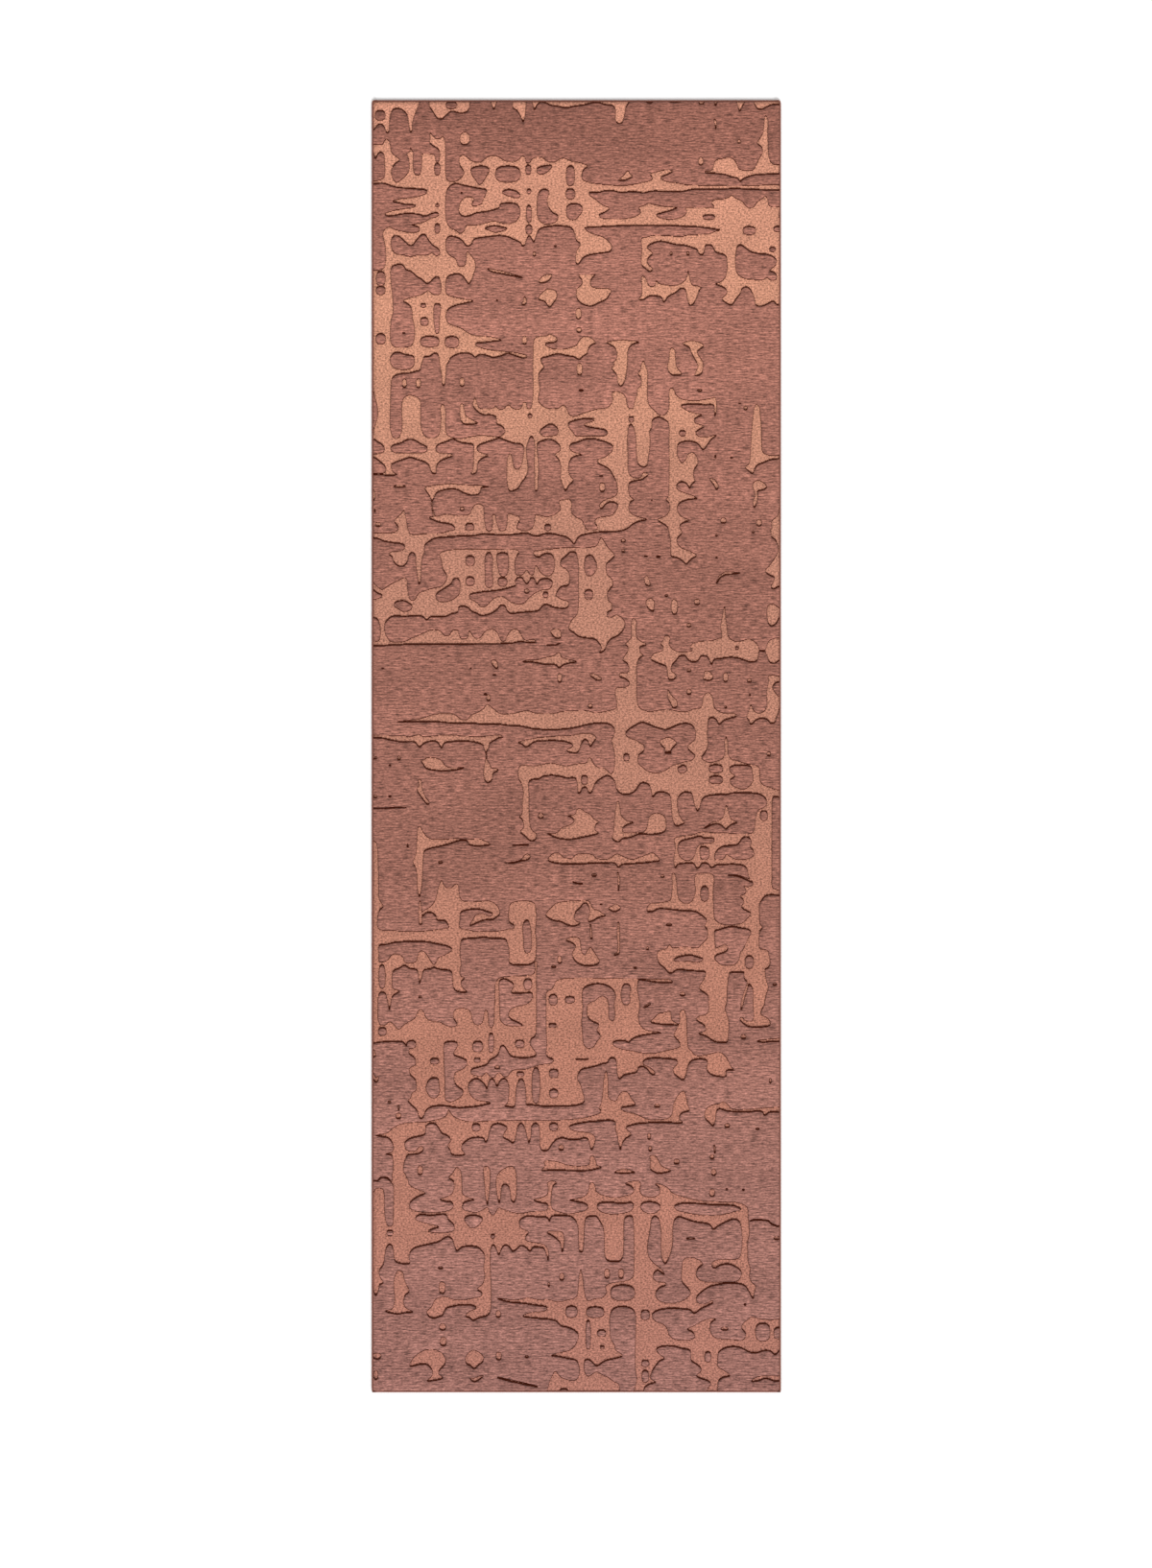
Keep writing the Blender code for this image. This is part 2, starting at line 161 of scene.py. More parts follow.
def drawHeadEnd():
    # head strip and its notches
    flat(-1,121, 4.6,121, 4.4,119.6, 4.3,119.3, 4,118.6, 3.8,117.9, 3.72,117, 3.6,117, 3.45,117.8,
        3.3,118.6,
          2.8,119.1, 2.4,119.2, 2,119.1, 1.75,118.6, 1.65,117.9, 1.6,117, 1.4,116.95, 1.25,117.3, 1,117.7,
          .6,117.7, .3,117.3, 0,117.1, -1,117.1)
    pileIslet(.8,118.55,.95,.9)
    pileIslet(2.3,120.05,.7,.3)
    flat(5.6,121, 5.35,119.5, 5.7,118.9, 6.1,118.3, 6.5,118.2, 6.95,118.6, 7.45,118.95, 8,118.8, 8.6,118.8,
          8.95,119, 9.15,119.7, 9.3,121)
    pileIslet(7.4,119.5,1,.65)
    flat(10.8,121, 11.1,119.7, 11.35,119.1, 11.5,119.5, 11.8,121)
    flat(13.6,121, 13.1,119.3, 13.5,119, 13.9,118.3, 14.05,117.9, 14.2,118.3, 14.3,119.2, 14.3,121)
    flat(14.7,121, 14.95,119.6, 15.1,119.05, 15.35,119.5, 15.7,119.78, 16.2,119.7, 16.6,119.5, 17.3,119.4,
          17.95,119.25, 18.8,119.4, 19.8,119.55, 20.3,119.7, 21.05,119.75, 21.7,119.55, 22.4,119.45,
          22.65,119,
          22.6,118.3, 22.8,117.85, 23.2,117.85, 23.45,118.5, 23.6,119.3, 23.9,119.8, 24.3,121)
    flat(24.9,121, 25.4,119.85, 25.8,119.72, 26.1,119.8, 26.8,121)
    flat(26.9,121, 27.6,119.85, 28.3,119.78, 28.7,119.85, 29.1,121)
    flatSpot(30.6,119.8,.5,.4)
    flat(31.8,121, 31.9,119.4, 32.1,119.85, 32.5,121)
    flat(33.3,121, 33.9,119.7, 34.15,118.9, 34.35,119.3, 34.6,119.8, 35,121)
    flat(35.2,121, 35.5,119.7, 35.8,119.2, 36.1,119.1, 36.6,119.3, 37.1,119.55, 39,119.7, 39,121)
    flat(31.75,118.3, 31.95,118.1, 32.02,117.6, 31.9,117.2, 31.85,117.7)
    flatSpot(34.1,116.15,.3,.35)
    flatSpot(30.55,114.3,.45,.7)
    # the wide light field under the head strip, from the left edge
    flat(-1,115.88, 1,115.87, 1.2,116.2, 1.4,116.38, 1.6,116.2, 1.75,115.8, 1.85,115.1, 2.2,114.8,
        2.6,114.4,
          2.15,114.05, 1.85,113.5, 1.85,113, 2.05,112.55, 2.3,112.35, 2.7,112.55, 3.2,113, 3.45,113.4,
          3.5,113.9, 3.45,114.5, 3.3,115.05, 3.55,115.2, 3.6,115.7, 3.75,115.3, 4,114.95, 4.35,114.95,
          5,115, 5.85,114.87, 6,114.2, 6.2,114.2, 6.35,115, 6.2,115.4, 5.4,116, 5.45,116.4, 5.4,117,
          5.75,116.6, 6.1,116.35, 6.4,116.45, 6.6,116.65, 6.8,116.2, 6.85,115, 6.88,113.1, 7,112.6,
          7.45,112.4, 8.1,112.6, 8.5,113, 8.6,113.25, 8.3,113.75, 8.15,114.1, 8.2,114.75, 8.6,114.87,
          8.95,114.6, 9.2,114.4, 9.7,114.2, 10.2,114.25, 10.6,114.6, 11.1,114.82, 11.6,114.8, 12.1,114.5,
          12.6,114.3, 13.2,114.25, 13.7,114.5, 13.95,114.8, 14.2,114.7, 14.4,114.1, 14.7,114.2, 14.9,114.5,
          15.35,114.7, 15.95,114.6, 16.2,114.35, 16.85,114.2, 17.2,114.35, 17.7,114.6, 18.1,114.5,
          18.6,114.3,
          19.3,114.15, 20.1,113.87, 19.75,113.6, 19.5,113.1, 19.6,112.6, 20.2,112.35, 20.9,112.2,
          21.9,112.1,
          23.2,112.05, 24.05,112.1, 25.05,112.3, 25.8,112.5, 26.1,112.7, 25.85,113.1, 26.4,113.3,
          27.2,113.5,
          28,113.42, 27.5,113.1, 26.8,112.75, 27.3,112.45, 28.2,112.3, 29.2,112.12, 31,112.05, 34,112,
          39,112, 39,111.73, 34,111.75, 32.7,111.73, 31.5,111.7, 29.7,111.68, 28.9,111.5, 27.2,111.5,
          25.9,111.5, 25.2,111.35, 24.7,111.45, 22.7,111.45, 22.5,111.55, 21.4,111.5, 21.2,111.4,
          20.15,111.35,
          20.3,111.1, 20.8,110.75, 21.4,110.25, 22.1,109.95, 21.7,109.6, 21.1,109.3, 21.3,109.05,
          21.9,108.95,
          23,108.93, 24.05,109.05, 24.7,109.3, 25,109.6, 24.75,110, 25.3,110.2, 25.7,110.38, 26.1,110.3,
          26.9,110.15, 29.2,110, 31.4,110, 31.85,110.05, 31.6,110.3, 31.55,110.55, 31.95,110.75, 32.7,110.8,
          33.2,111, 33.4,111.15, 33.8,110.85, 34.3,110.65, 34.7,110.2, 35.05,109.95, 35.5,110.1,
          35.8,110.55,
          36.3,110.85, 36.55,111.1, 36.75,110.75, 36.85,110.25, 37.2,110.05, 39,110, 39,101.05, 37.6,101,
          37.3,101.3, 36.8,101.1, 36.3,100.87, 35.65,100.95, 35.55,101.5, 35.25,102.2, 34.9,102.6,
          34.4,102.5,
          34.2,102, 33.8,101.5, 33.4,100.95, 32.9,101.15, 32.5,101.5, 32.75,101.8, 33,102.1, 32.8,102.5,
          32.3,102.75, 31.85,102.95, 32.3,103.05, 32.8,103.5, 33,104.1, 33,104.9, 32.9,105.45, 32.55,105.7,
          32.05,105.8, 31.8,106.05, 31.55,106.5, 31,106.5, 30.9,106.1, 30.7,105.6, 30.4,105.7, 30.2,106.1,
          29.7,106.3, 29.05,106.5, 28.2,106.57, 27.5,106.75, 26.9,106.87, 26.4,106.8, 25.8,106.55,
          25.55,106.3,
          25.85,106, 26.1,105.75, 25.7,105.35, 25.55,104.95, 25.8,104.6, 26.1,104.35, 25.9,104.05,
          25.4,104.35,
          25.05,104.7, 25.05,105.6, 25.1,106.2, 25.05,107.15, 25.5,107.25, 26.2,107.42, 27.9,107.35,
          28.7,107.3,
          29.4,107.45, 31.2,107.55, 31.9,107.8, 32.4,107.9, 31.9,108, 31.2,108.1, 30.4,108.2, 29.4,108.25,
          28.4,108.3, 27.2,108.35, 24.7,108.35, 22.8,108.3, 21.1,108.2, 19.75,108.08, 20.05,107.8,
          20.7,107.5,
          21.4,107.3, 21.8,107.05, 22.2,106.6, 22.3,106.3, 22.15,105.95, 21.55,105.8, 20.7,105.7,
          19.9,105.5,
          19.55,105.25, 19.2,104.75, 19,104.8, 18.95,105.6, 19.15,106.2, 19.4,106.6, 19,106.95, 18.87,107.5,
          18.6,108.05, 18.1,108.25, 17.2,108.3, 16.45,108.25, 15.6,108, 15.3,107.5, 15.05,106.75, 14.9,107,
          14.65,107.4, 14.4,107.1, 14.2,106.5, 14,106.4, 13.85,106.7, 13.2,107.05, 12.6,107.3, 11.85,107.4,
          10.95,107.3, 10.1,107.2, 9.5,107.05, 9.3,106.65, 8.9,106.4, 8.35,107, 7.85,107.25, 7.15,107.3,
          6.9,106.9, 6.9,106.4, 7,105.9, 7.35,105.5, 7.8,105.25, 7.95,104.8, 8.1,104.55, 8.6,104.6,
          8.8,105.1,
          8.85,105.95, 9.2,105.6, 9.55,105.1, 9.65,104.5, 9.5,103.9, 9.25,103.2, 9,102.9, 8.85,103.1,
          8.5,103.6, 8.1,103.85, 7.6,103.8, 7.1,103.6, 6.9,103.2, 6.95,102, 7.45,101.75, 8.35,101.55,
          9.5,101.35, 8.35,101.05, 7.6,100.85, 7.1,100.55, 6.9,100, 6.85,99.4, 3.9,99.4, 3.8,100,
          3.7,100.65,
          3.45,101, 2.9,101.35, 3.45,101.6, 4.35,101.85, 4.95,102.1, 5.2,102.3, 5.7,101.97, 6.1,101.87,
          6.4,102.1, 6.4,103.1, 6.2,103.55, 5.85,103.5, 5.45,103.1, 5.15,102.93, 4.7,103.3, 4.2,103.6,
          3.7,104.05, 3.2,104.25, 2.85,104.7, 2.35,104.7, 1.9,104.5, 1.75,104, 1.75,99.4, -1,99.4,
          -1,104.15,
          .5,104.17, 1.1,104.35, 1.3,105, 1.3,106.2, 1.15,107, 1.05,107.5, 1.2,107.95, 1.65,108.2,
          2.1,107.98,
          2.85,107.8, 3.6,107.68, 4.4,107.8, 4.45,108.1, 3.95,108.33, 3.6,108.45, 4.35,108.5, 4.95,108.7,
          5.45,109, 6.2,109.25, 6.15,109.5, 5.6,109.45, 5,109.2, 4.35,109.37, 3.45,109.45, 2.6,109.37,
          1.6,109.2, 1.2,109.4, 1.45,109.55, 2.2,109.75, 3.1,109.9, 3.95,110.05, 4.1,110.2, 3.1,110.3,
          2.45,110.45, 1.9,110.6, 2.45,110.77, 3.5,110.9, 4.35,111.05, 5.1,111.35, 5.1,111.6, 4.7,111.7,
          4,111.75, 3.1,111.8, 2.2,111.9, 1.6,112.1, 1,112.27, -1,112.1, -1,112.45, 0,112.45, 1,112.65,
          1.2,112.9, 1.25,113.4, 1.2,114.1, 1.15,114.9, .85,115.15, .6,115, .35,114.5, .1,115.2, -1,115.3)
    # islands of pile inside it
    pile(3.95,115.1, 3.85,114.1, 3.9,113.4, 4.15,113, 4.45,113.05, 4.65,113.9, 4.55,115.1)
    pileIslet(6.1,113.55,.55,1.1)
    pileIslet(6.1,110.2,.4,.25)
    pileIslet(6.1,108.05,.5,.85)
    pile(9.2,113.5, 9.7,113.8, 10.6,113.8, 10.95,113.45, 10.7,113, 10.35,112.4, 10,112.1, 9.7,112.5,
        9.35,113)
    pileIslet(12.65,113.1,2.35,1.5)
    pileIslet(14.55,113.5,.5,.9)
    pile(15.35,113.6, 15.95,113.85, 16.75,113.87, 16.5,113.5, 15.95,113.1, 15.4,113.2)
    pileIslet(18.45,112.95,.8,1.85)
    pile(12.1,111.4, 12.5,111.65, 13,111.65, 13.6,111.4, 13.8,111.05, 13.5,110.87, 13,111, 12.5,111.15)
    pileIslet(14.6,111.5,.4,.4)
    pileIslet(18.45,111.25,.85,.95)
    pile(15.35,109.9, 15.4,110.9, 15.6,111.5, 16.05,111.7, 16.45,111.5, 16.3,110.75, 16.45,110, 16.85,109.5,
          17.3,109.25, 17.2,108.8, 16.7,108.5, 15.95,108.5, 15.45,109)
    pile(18.1,110, 18.4,110.3, 18.9,110.35, 19.4,110.2, 19.6,109.8, 19.3,109.3, 18.9,108.87, 18.4,108.9,
          18.1,109.3)
    pileIslet(14.6,109.4,.5,1.6)
    pileIslet(14.6,107.95,.6,.85)
    pile(10.5,108.05, 11,108.25, 11.5,108.3, 12,108.2, 12.6,108.05, 12.2,107.85, 11.5,107.7, 11,107.85)
    pile(6.9,111.1, 7,111.6, 7.35,112.05, 7.85,112.25, 8.35,112.1, 9.1,111.95, 9.85,111.8, 10.7,111.6,
          10.6,111.25, 10.35,110.75, 10.2,110.35, 9.85,110.2, 9.3,110.2, 9.4,110.55, 9.55,110.8, 9.2,111,
          8.8,111, 8.3,110.6, 8.1,110, 8.15,109.5, 8.5,109.2, 9.1,109.25, 9.7,109.5, 10.5,109.6,
          11.2,109.75,
          11.85,110, 11.95,110.3, 12.6,110.4, 13.35,110.35, 13.7,110.05, 13.8,109.4, 13.45,108.8,
          12.85,108.5,
          12.1,108.55, 11.35,108.75, 10.5,108.55, 9.6,108.35, 8.75,108.3, 8.65,107.9, 8.2,107.6,
          7.85,107.85,
          7.35,108.1, 7,108.6, 6.85,109.6)
    pile(1.85,107.1, 2.2,107.4, 2.65,107.25, 3.1,106.85, 3.5,106.5, 3.8,106.5, 4.15,106.95, 4.6,107.45,
          4.95,107.5, 5.3,106.95, 5.7,106.5, 6.25,106.1, 6.35,105.75, 6.05,105.5, 5.6,105.8, 5.2,105.6,
          4.35,105.6, 3.65,105.45, 2.95,105.6, 2.2,105.75, 1.85,106.25)
    pile(26.4,109.3, 26.9,109.5, 27.7,109.7, 28.3,109.95, 28.75,110.1, 29.05,109.97, 29.25,109.6, 29,109.25,
          28.4,109, 27.55,108.9, 26.8,109.05)
    pileIslet(31.3,109.1,1.15,.42)
    pileIslet(35.05,107.85,1.2,.75)
    pileIslet(37.85,108,1.1,.5)
    pileIslet(38,109.1,.4,.4)
    pileIslet(37.2,106.1,.6,.4)
    pile(33.75,105.2, 33.85,106.1, 34.05,106.5, 34.35,106.5, 34.7,106.25, 35.2,105.9, 36.05,105.7,
          36.7,105.65, 37.3,105.4, 37.6,105.05, 37.5,104.7, 37.2,104.4, 36.9,104.15, 37.4,103.95,
          37.6,103.6,
          37.5,103.3, 37.05,103.25, 36.7,103.5, 36.3,103.3, 35.4,103.3, 34.55,103.45, 34.05,103.75,
          33.8,104.25)
    pileIslet(.85,103.4,.85,1.3)
    pileIslet(.85,102.3,.85,.75)
    pileIslet(-.1,103.2,.4,.9)
    pileIslet(4.8,100.9,.5,.35)
    # light field near the right edge of the head end
    flat(31.55,113.45, 31.75,113.9, 31.95,114.4, 32.45,114.52, 33.05,114.65, 33.4,114.6, 33.8,114.25,
          34.1,113.6, 34.7,113.45, 35.4,113.5, 35.7,114, 36.05,114.7, 36.3,115.2, 36.2,115.6, 35.75,116,
          35.95,116.3, 36.3,116.9, 36.4,117.6, 36.55,118.6, 36.75,118.1, 36.75,116.9, 36.8,115.9,
          36.85,114.8,
          37,114.3, 37.3,114, 37.7,113.97, 39,114.3, 39,113.3, 36.9,113.1, 35.7,113.05, 34.95,112.87,
          34.4,112.6, 34.2,112.4, 34,112.7, 33.4,112.85, 32.8,113.05, 31.9,113.17, 31,113.25, 30.9,113.4)
    flat(22.9,112.55, 23.4,113, 23.8,113.45, 24,113.1, 24.25,112.95, 23.8,112.65, 23.4,112.5)
    # single marks in the chenille
    flatSpot(8.65,116.4,.9,1.15)
    flat(10.7,104.38, 11.2,104.28, 12.5,104, 14.25,103.45, 12.4,103.8, 11,104.1)
    flat(15.5,103.1, 15.85,103.6, 16.7,103.8, 16.6,103.4, 15.95,103)
    flat(15.45,101.55, 15.85,102.1, 16.35,102.45, 17.1,102.25, 17.2,101.75, 16.85,101.1, 16.5,100.75,
          16.1,101.25)
    flat(14.15,101.8, 14.4,101.4, 14.2,100.95, 13.9,101.05, 14.1,101.35)
    flatSpot(11.65,101.4,.22,.16)
    flatSpot(17.05,106.45,.25,.2)
    flatSpot(15.1,105.7,.25,.45)
    flatSpot(8.35,111.4,.2,.15)
    flatSpot(27.8,105.75,.25,.3)
    flatSpot(29.35,105.75,.25,.35)
    flat(25.1,103.65, 25.4,103.5, 25.6,103, 25.8,102.7, 26.3,102.75, 26.4,103.3, 26.6,103, 27.2,102.85,
          28.05,102.75, 28.7,102.95, 29.05,103.2, 29.25,103.5, 29.38,104.3, 29.5,103.5, 29.6,103.1,
          29.8,102.8,
          30.3,102.7, 30.6,102.55, 30.4,102.3, 30.1,101.5, 29.8,101, 29.5,100.95, 29.3,101.6, 29.1,102.4,
          28.7,102.5, 28.2,102.1, 27.55,101.75, 27.1,101.2, 26.9,101.65, 26.4,101.8, 25.8,101.8,
          25.2,101.45,
          24.75,101.5, 25.05,101.85, 25.1,102.6)
    flat(19.15,103.7, 19.55,103.75, 20.3,103.75, 20.8,103.8, 20.55,103.55, 20.3,103.1, 20.4,102.7,
          21.05,102.5, 21.8,102.5, 22.25,102.35, 22.05,101.9, 21.8,101.5, 21.05,101.15, 20.4,100.85,
          19.8,100.95, 19.3,101.25, 19,101.75, 19.1,102.5, 19.5,102.85, 19.55,103.2, 19.35,103.5)
    flatSpot(19.2,100.15,.5,1)


def drawUpperBand():
    # the lattice, with its arms, spikes and the stem down to the long band below
    flat(-1,99.8, 1.7,99.8, 1.72,98.6, 1.8,97.45, 2.1,97.1, 3,97, 3.7,97.2, 3.95,97.8, 4,98.6, 4,99.8,
          6.9,99.8, 7,99.45, 7.25,99.2, 7.75,99, 8.4,98.75, 9,98.35, 9.75,98.1, 10.6,98.05, 11.5,97.9,
          12.1,97.7, 11.4,97.6, 10.6,97.5, 9.7,97.4, 9.6,97.3, 10.1,97, 10.9,96.8, 11.75,96.7, 12.6,96.6,
          13.5,96.5, 14.4,96.25, 14.4,96.1, 14,96.05, 13.2,96.3, 12.6,96.45, 11.9,96.2, 11.2,96.1,
          10.6,96.3,
          10,96.35, 9.6,96.1, 9.4,96.3, 8.9,96.5, 8,96.4, 7.35,96.05, 7.2,95.75, 6.95,95.3, 6.9,94.5,
          6.75,93.5, 6.6,93.5, 6.5,94.5, 6.35,95.3, 6.25,95.95, 6.2,96.3, 5.9,96.5, 5.4,96.2, 4.9,96.15,
          4.75,95.8, 4.55,95.2, 4.5,94.9, 4.1,94.8, 3.6,94.65, 3,94.6, 2.4,94.5, 1.95,94.2, 1.8,93.5,
          1.75,92,
          1.7,90, 1.85,88.95, 2.05,88.65, 2.5,88.65, 2.75,89.1, 2.85,90, 2.8,91.5, 3,92.35, 3.5,92.6,
          4,92.5,
          4.45,92.2, 4.55,91.6, 4.55,90, 4.75,89.1, 5.1,88.7, 5.75,88.6, 6.2,88.85, 6.35,89.3, 6.45,90.6,
          6.4,91.5, 6.6,91.8, 6.85,91.2, 6.85,90, 7,88.95, 7.4,88.7, 8.1,88.55, 9,88.7, 10,88.85, 11,88.8,
          11.9,88.75, 12.25,89, 12.4,89.25, 12.1,89.7, 11.6,89.95, 11.6,90.3, 11.5,90.6, 11.1,90.75,
          10.4,90.75, 10,90.95, 9.6,91.3, 9.4,91.7, 9.6,92.4, 9.75,91.9, 10,91.4, 10.5,91.3, 11.4,91.45,
          11.5,91.65, 11.7,91.35, 12.25,91.3, 12.5,91.6, 12.8,91.65, 13.05,91.4, 13.5,91.25, 13.9,91.4,
          14.1,91.95, 14.35,91.85, 14.45,91.35, 14.75,91.35, 14.9,91.8, 15,93, 14.98,95, 15,96.5,
          15.05,97.6,
          15.2,97.9, 15.6,98.05, 16.25,98.1, 16.5,98.25, 17,98.05, 17.25,97.75, 17,97.5, 16.5,97.45,
          16.1,97.3, 16.6,96.95, 17.4,96.85, 18.1,96.9, 18.75,97.1, 19.05,97.25, 19.2,97.55, 19.5,97.9,
          19.9,98.05, 20.5,97.8, 20.8,97.45, 20.4,97.25, 20.1,96.9, 20,96.45, 19.6,96.2, 19.3,95.9,
          18.75,96.15, 18.1,96.25, 17.5,96.4, 16.9,96.35, 16.25,96.15, 15.75,96, 15.7,95.75, 15.9,95.45,
          16,95.15, 15.75,94.9, 15.5,94.45, 15.5,93.8, 15.6,93.1, 15.5,92.6, 15.45,92.1, 15.75,91.7,
          16.25,91.4, 16.9,91.3, 17.4,91.4, 17.7,91.65, 18,91.55, 18.2,91.05, 18.5,90.65, 19,90.65,
          19.7,90.95, 20.4,91.15, 21.2,91.35, 21.8,91.4, 22.2,91.75, 22.4,92.3, 22.25,92.7, 22.6,92.95,
          23.2,92.8, 23.55,92.45, 23.7,91.8, 23.9,91.35, 24.25,91.35, 24.4,91.95, 24.6,92.6, 24.7,93.2,
          25,93.5, 25,94.2, 24.7,94.6, 24.95,94.9, 25.05,95.5, 25.25,95.8, 25.4,95.3, 25.6,94.8, 25.6,93.6,
          25.6,92.3, 25.75,91.7, 26.2,91.2, 26.7,90.75, 27.05,90.7, 27.4,90.95, 27.6,91.45, 27.6,92.6,
          27.7,93.2, 28,93.2, 28.2,92.7, 28.7,92.25, 29.7,92.1, 30.7,92.15, 31.55,92.3, 31.85,92.4,
          32,91.85,
          32,91.1, 31.85,90.6, 31.8,91.1, 31.75,91.65, 30.9,91.7, 29.9,91.75, 29.05,91.7, 28.7,91.6,
          29.2,91.2, 29.9,90.95, 30.75,90.75, 30.3,90.6, 29.9,90.25, 30.05,90, 30.85,89.7, 30.4,89.4,
          30.05,89.1, 30.4,88.75, 31.05,88.7, 32.05,88.9, 31.55,88.5, 31.2,88.05, 30.75,87.5, 30.4,87.95,
          30.05,88.2, 29.4,88.3, 28.7,88.2, 28.4,87.95, 28.35,87.3, 28.5,86.7, 28.8,86.3, 29.2,86.7,
          29.4,87.15, 29.85,87.25, 30.2,86.8, 30.25,86.2, 29.9,85.6, 29.9,84.95, 30.05,84.65, 29.7,84.3,
          29.5,83.9, 29.3,84.3, 28.8,84.55, 28.35,84.3, 28.3,83.95, 28.7,83.65, 29.3,83.45, 30.25,83,
          29.4,82.9, 28.7,82.65, 28.4,82.3, 28.4,81.8, 28.8,81.3, 29.55,81, 29.05,80.8, 28.6,80.5,
          28.5,79.4,
          27.8,79.4, 27.6,80.1, 27.35,80.45, 26.5,81.05, 27.05,81.25, 27.5,81.6, 27.7,82.1, 27.6,82.6,
          27.3,82.9, 27.5,83.1, 27.6,84.3, 27.6,88, 27.55,90, 27.2,90.3, 26.7,90.55, 26.2,90.4, 26,90.1,
          26,89.6, 25.8,89.2, 25.85,88.3, 25.65,86.6, 25.5,86, 25.05,85.95, 24.75,86.2, 24.6,87, 24.55,88.1,
          24.5,88.95, 24.3,89.6, 24.05,89.9, 23.85,89.6, 23.75,88.7, 23.8,86.8, 23.8,85.6, 24.05,85.1,
          24.55,84.9, 25,85, 25.2,85.4, 25.7,85.25, 25.05,84.75, 24.3,84.6, 23.9,84.4, 23.85,83.7, 24,83.15,
          24.4,82.9, 24.05,82.7, 23.85,82.1, 24.1,81.6, 24.7,81.3, 25.6,81.05, 24.9,80.9, 24.3,80.65,
          23.8,80.25, 23.2,80, 22.2,79.9, 20.9,79.85, 20.05,79.7, 19.4,79.55, 19.05,79.2, 18.8,78.75,
          18.5,79.1,
          18.1,79.4, 17.5,79.55, 16.9,79.7, 16,79.7, 15.4,79.5, 15,79.55, 14.5,79.75, 12.5,79.6, 10.2,79.7,
          8.75,79.55, 7,79.45, 5,79.4, 2.7,79.6, 2.55,80.2, 2.3,80.6, 2.1,80.95, 2.4,81.25, 2.8,81.65,
          3,81.95, 3.1,81.6,
          3.25,80.8, 3.4,80.05, 3.6,79.7, 5.25,79.75, 6.4,79.75, 7.1,79.95, 7.75,80.15, 7.55,80.5, 6.9,80.7,
          6.25,80.8, 5.75,81, 5.3,81.25, 6.2,81.35, 6.9,81.55, 8.1,81.4, 9.1,81.55, 9.3,82, 9.6,82.4,
          9.9,82.5, 10.25,82.4, 10.4,82.1, 10.45,81.2, 10.55,80.45, 10.75,79.98, 11.05,80, 11.2,80.3,
          11.25,80.95, 11.2,81.45, 11.45,81.55, 11.55,81.05, 11.7,80.45, 11.95,80, 12.4,80.05, 12.55,80.55,
          12.6,81.2, 12.7,81.6, 13.25,81.45, 13.8,81.2, 13.6,80.7, 13.45,80.3, 13.9,80.05, 14.5,80.05,
          14.95,80.3, 15.1,80.8, 15.25,81.55, 15.5,81.45, 16.25,81.3, 16.9,81.45, 17.25,81.7, 17.55,81.95,
          17.5,82.3, 17.4,82.75, 17.9,82.9, 18.4,82.9, 18.6,82.45, 18.5,81.95, 18.6,81.6, 19,81.25, 19.5,81,
          19.7,80.6, 20,80.1, 20.4,80.05, 21,80.2, 20.7,80.85, 20.9,81.15, 21.55,81.3, 22.3,81.45, 22.75,82,
          22.9,82.3, 22.7,82.55, 22.2,82.7, 21.7,82.45, 21.3,82, 21.15,82.4, 21.55,82.8, 22.2,83.05,
          22.5,83.15, 22.8,83.5, 22.8,84.1, 22.7,84.6, 22.4,85.15, 22.05,85.7, 21.55,86, 20.95,86.35,
          21,86.6,
          21.55,86.8, 22,87.1, 22.3,87.4, 22.4,87.65, 22.35,87.9, 21.8,88.2, 21.05,88.45, 20.3,88.55,
          19.7,88.45, 19.05,88.2, 18.6,88.1, 18.35,87.75, 18.5,87.45, 18.95,87.25, 19.6,87.05, 19,86.95,
          18.55,86.7, 18.3,86.2, 18.3,85.45, 18.5,85, 18.75,84.7, 18.3,84.2, 18,83.7, 17.75,84.2,
          17.55,84.8,
          17.55,85.6, 17.5,86.3, 17.25,86.75, 17,87.1, 17.45,87.4, 17.5,87.8, 17.1,88.25, 16.5,88.5,
          16,88.4,
          15.45,88.15, 15.35,87.8, 15.4,87, 15.5,86, 15.45,85, 15.35,83.7, 15.2,83.7, 15.15,85, 15.1,86.5,
          15.15,87.9, 15,88.6, 14.8,88.75, 14.5,88.2, 14.35,87.5, 14.4,86.8, 14.5,85.6, 14.25,84.9,
          13.9,84.45, 13.6,83.95, 13.25,83.75, 12.8,83.7, 12.6,84.3, 12.55,85.6, 12.6,86.6, 12.8,87.2,
          13,86.95, 13.1,86.3, 13.3,85.8, 13.6,85.7, 13.9,86.1, 14.05,86.8, 14.15,87.6, 13.95,88,
          13.1,88.15,
          12.4,88.4, 11.9,88.6, 11.4,88.45, 10.6,88.2, 10,87.95, 9.75,87.65, 9.9,87.4, 10.4,87.15, 10.9,87,
          10.4,86.8, 10,86.5, 9.8,86.1, 9.8,85.6, 9.6,85.3, 9.2,85.3, 9.4,85.7, 9.45,86.5, 9.5,87.3, 9.4,88,
          8.9,88.1, 8.1,88.25, 7.55,88.5, 6.9,88.25, 6.2,88, 5.95,87.7, 6.1,87.3, 6.9,87.2, 7.6,87, 7,86.75,
          6.5,86.55, 6.2,86.3, 6,85.95, 5.95,85.3, 5.7,85.3, 5.5,85.6, 5.3,86.1, 4.9,86.4, 4.25,86.6,
          3.6,86.8, 2.9,86.6, 2.1,86.3, 1.8,86.1, 1.85,85.8, 2,85.45, 2.4,85.25, 1.9,85.15, 1,85.2, -1,85.3,
          -1,85.4, 1,85.35, 1.3,85.5, 1.3,85.9, 1.1,86.15, .7,86.5, .2,86.8, -1,86.7)
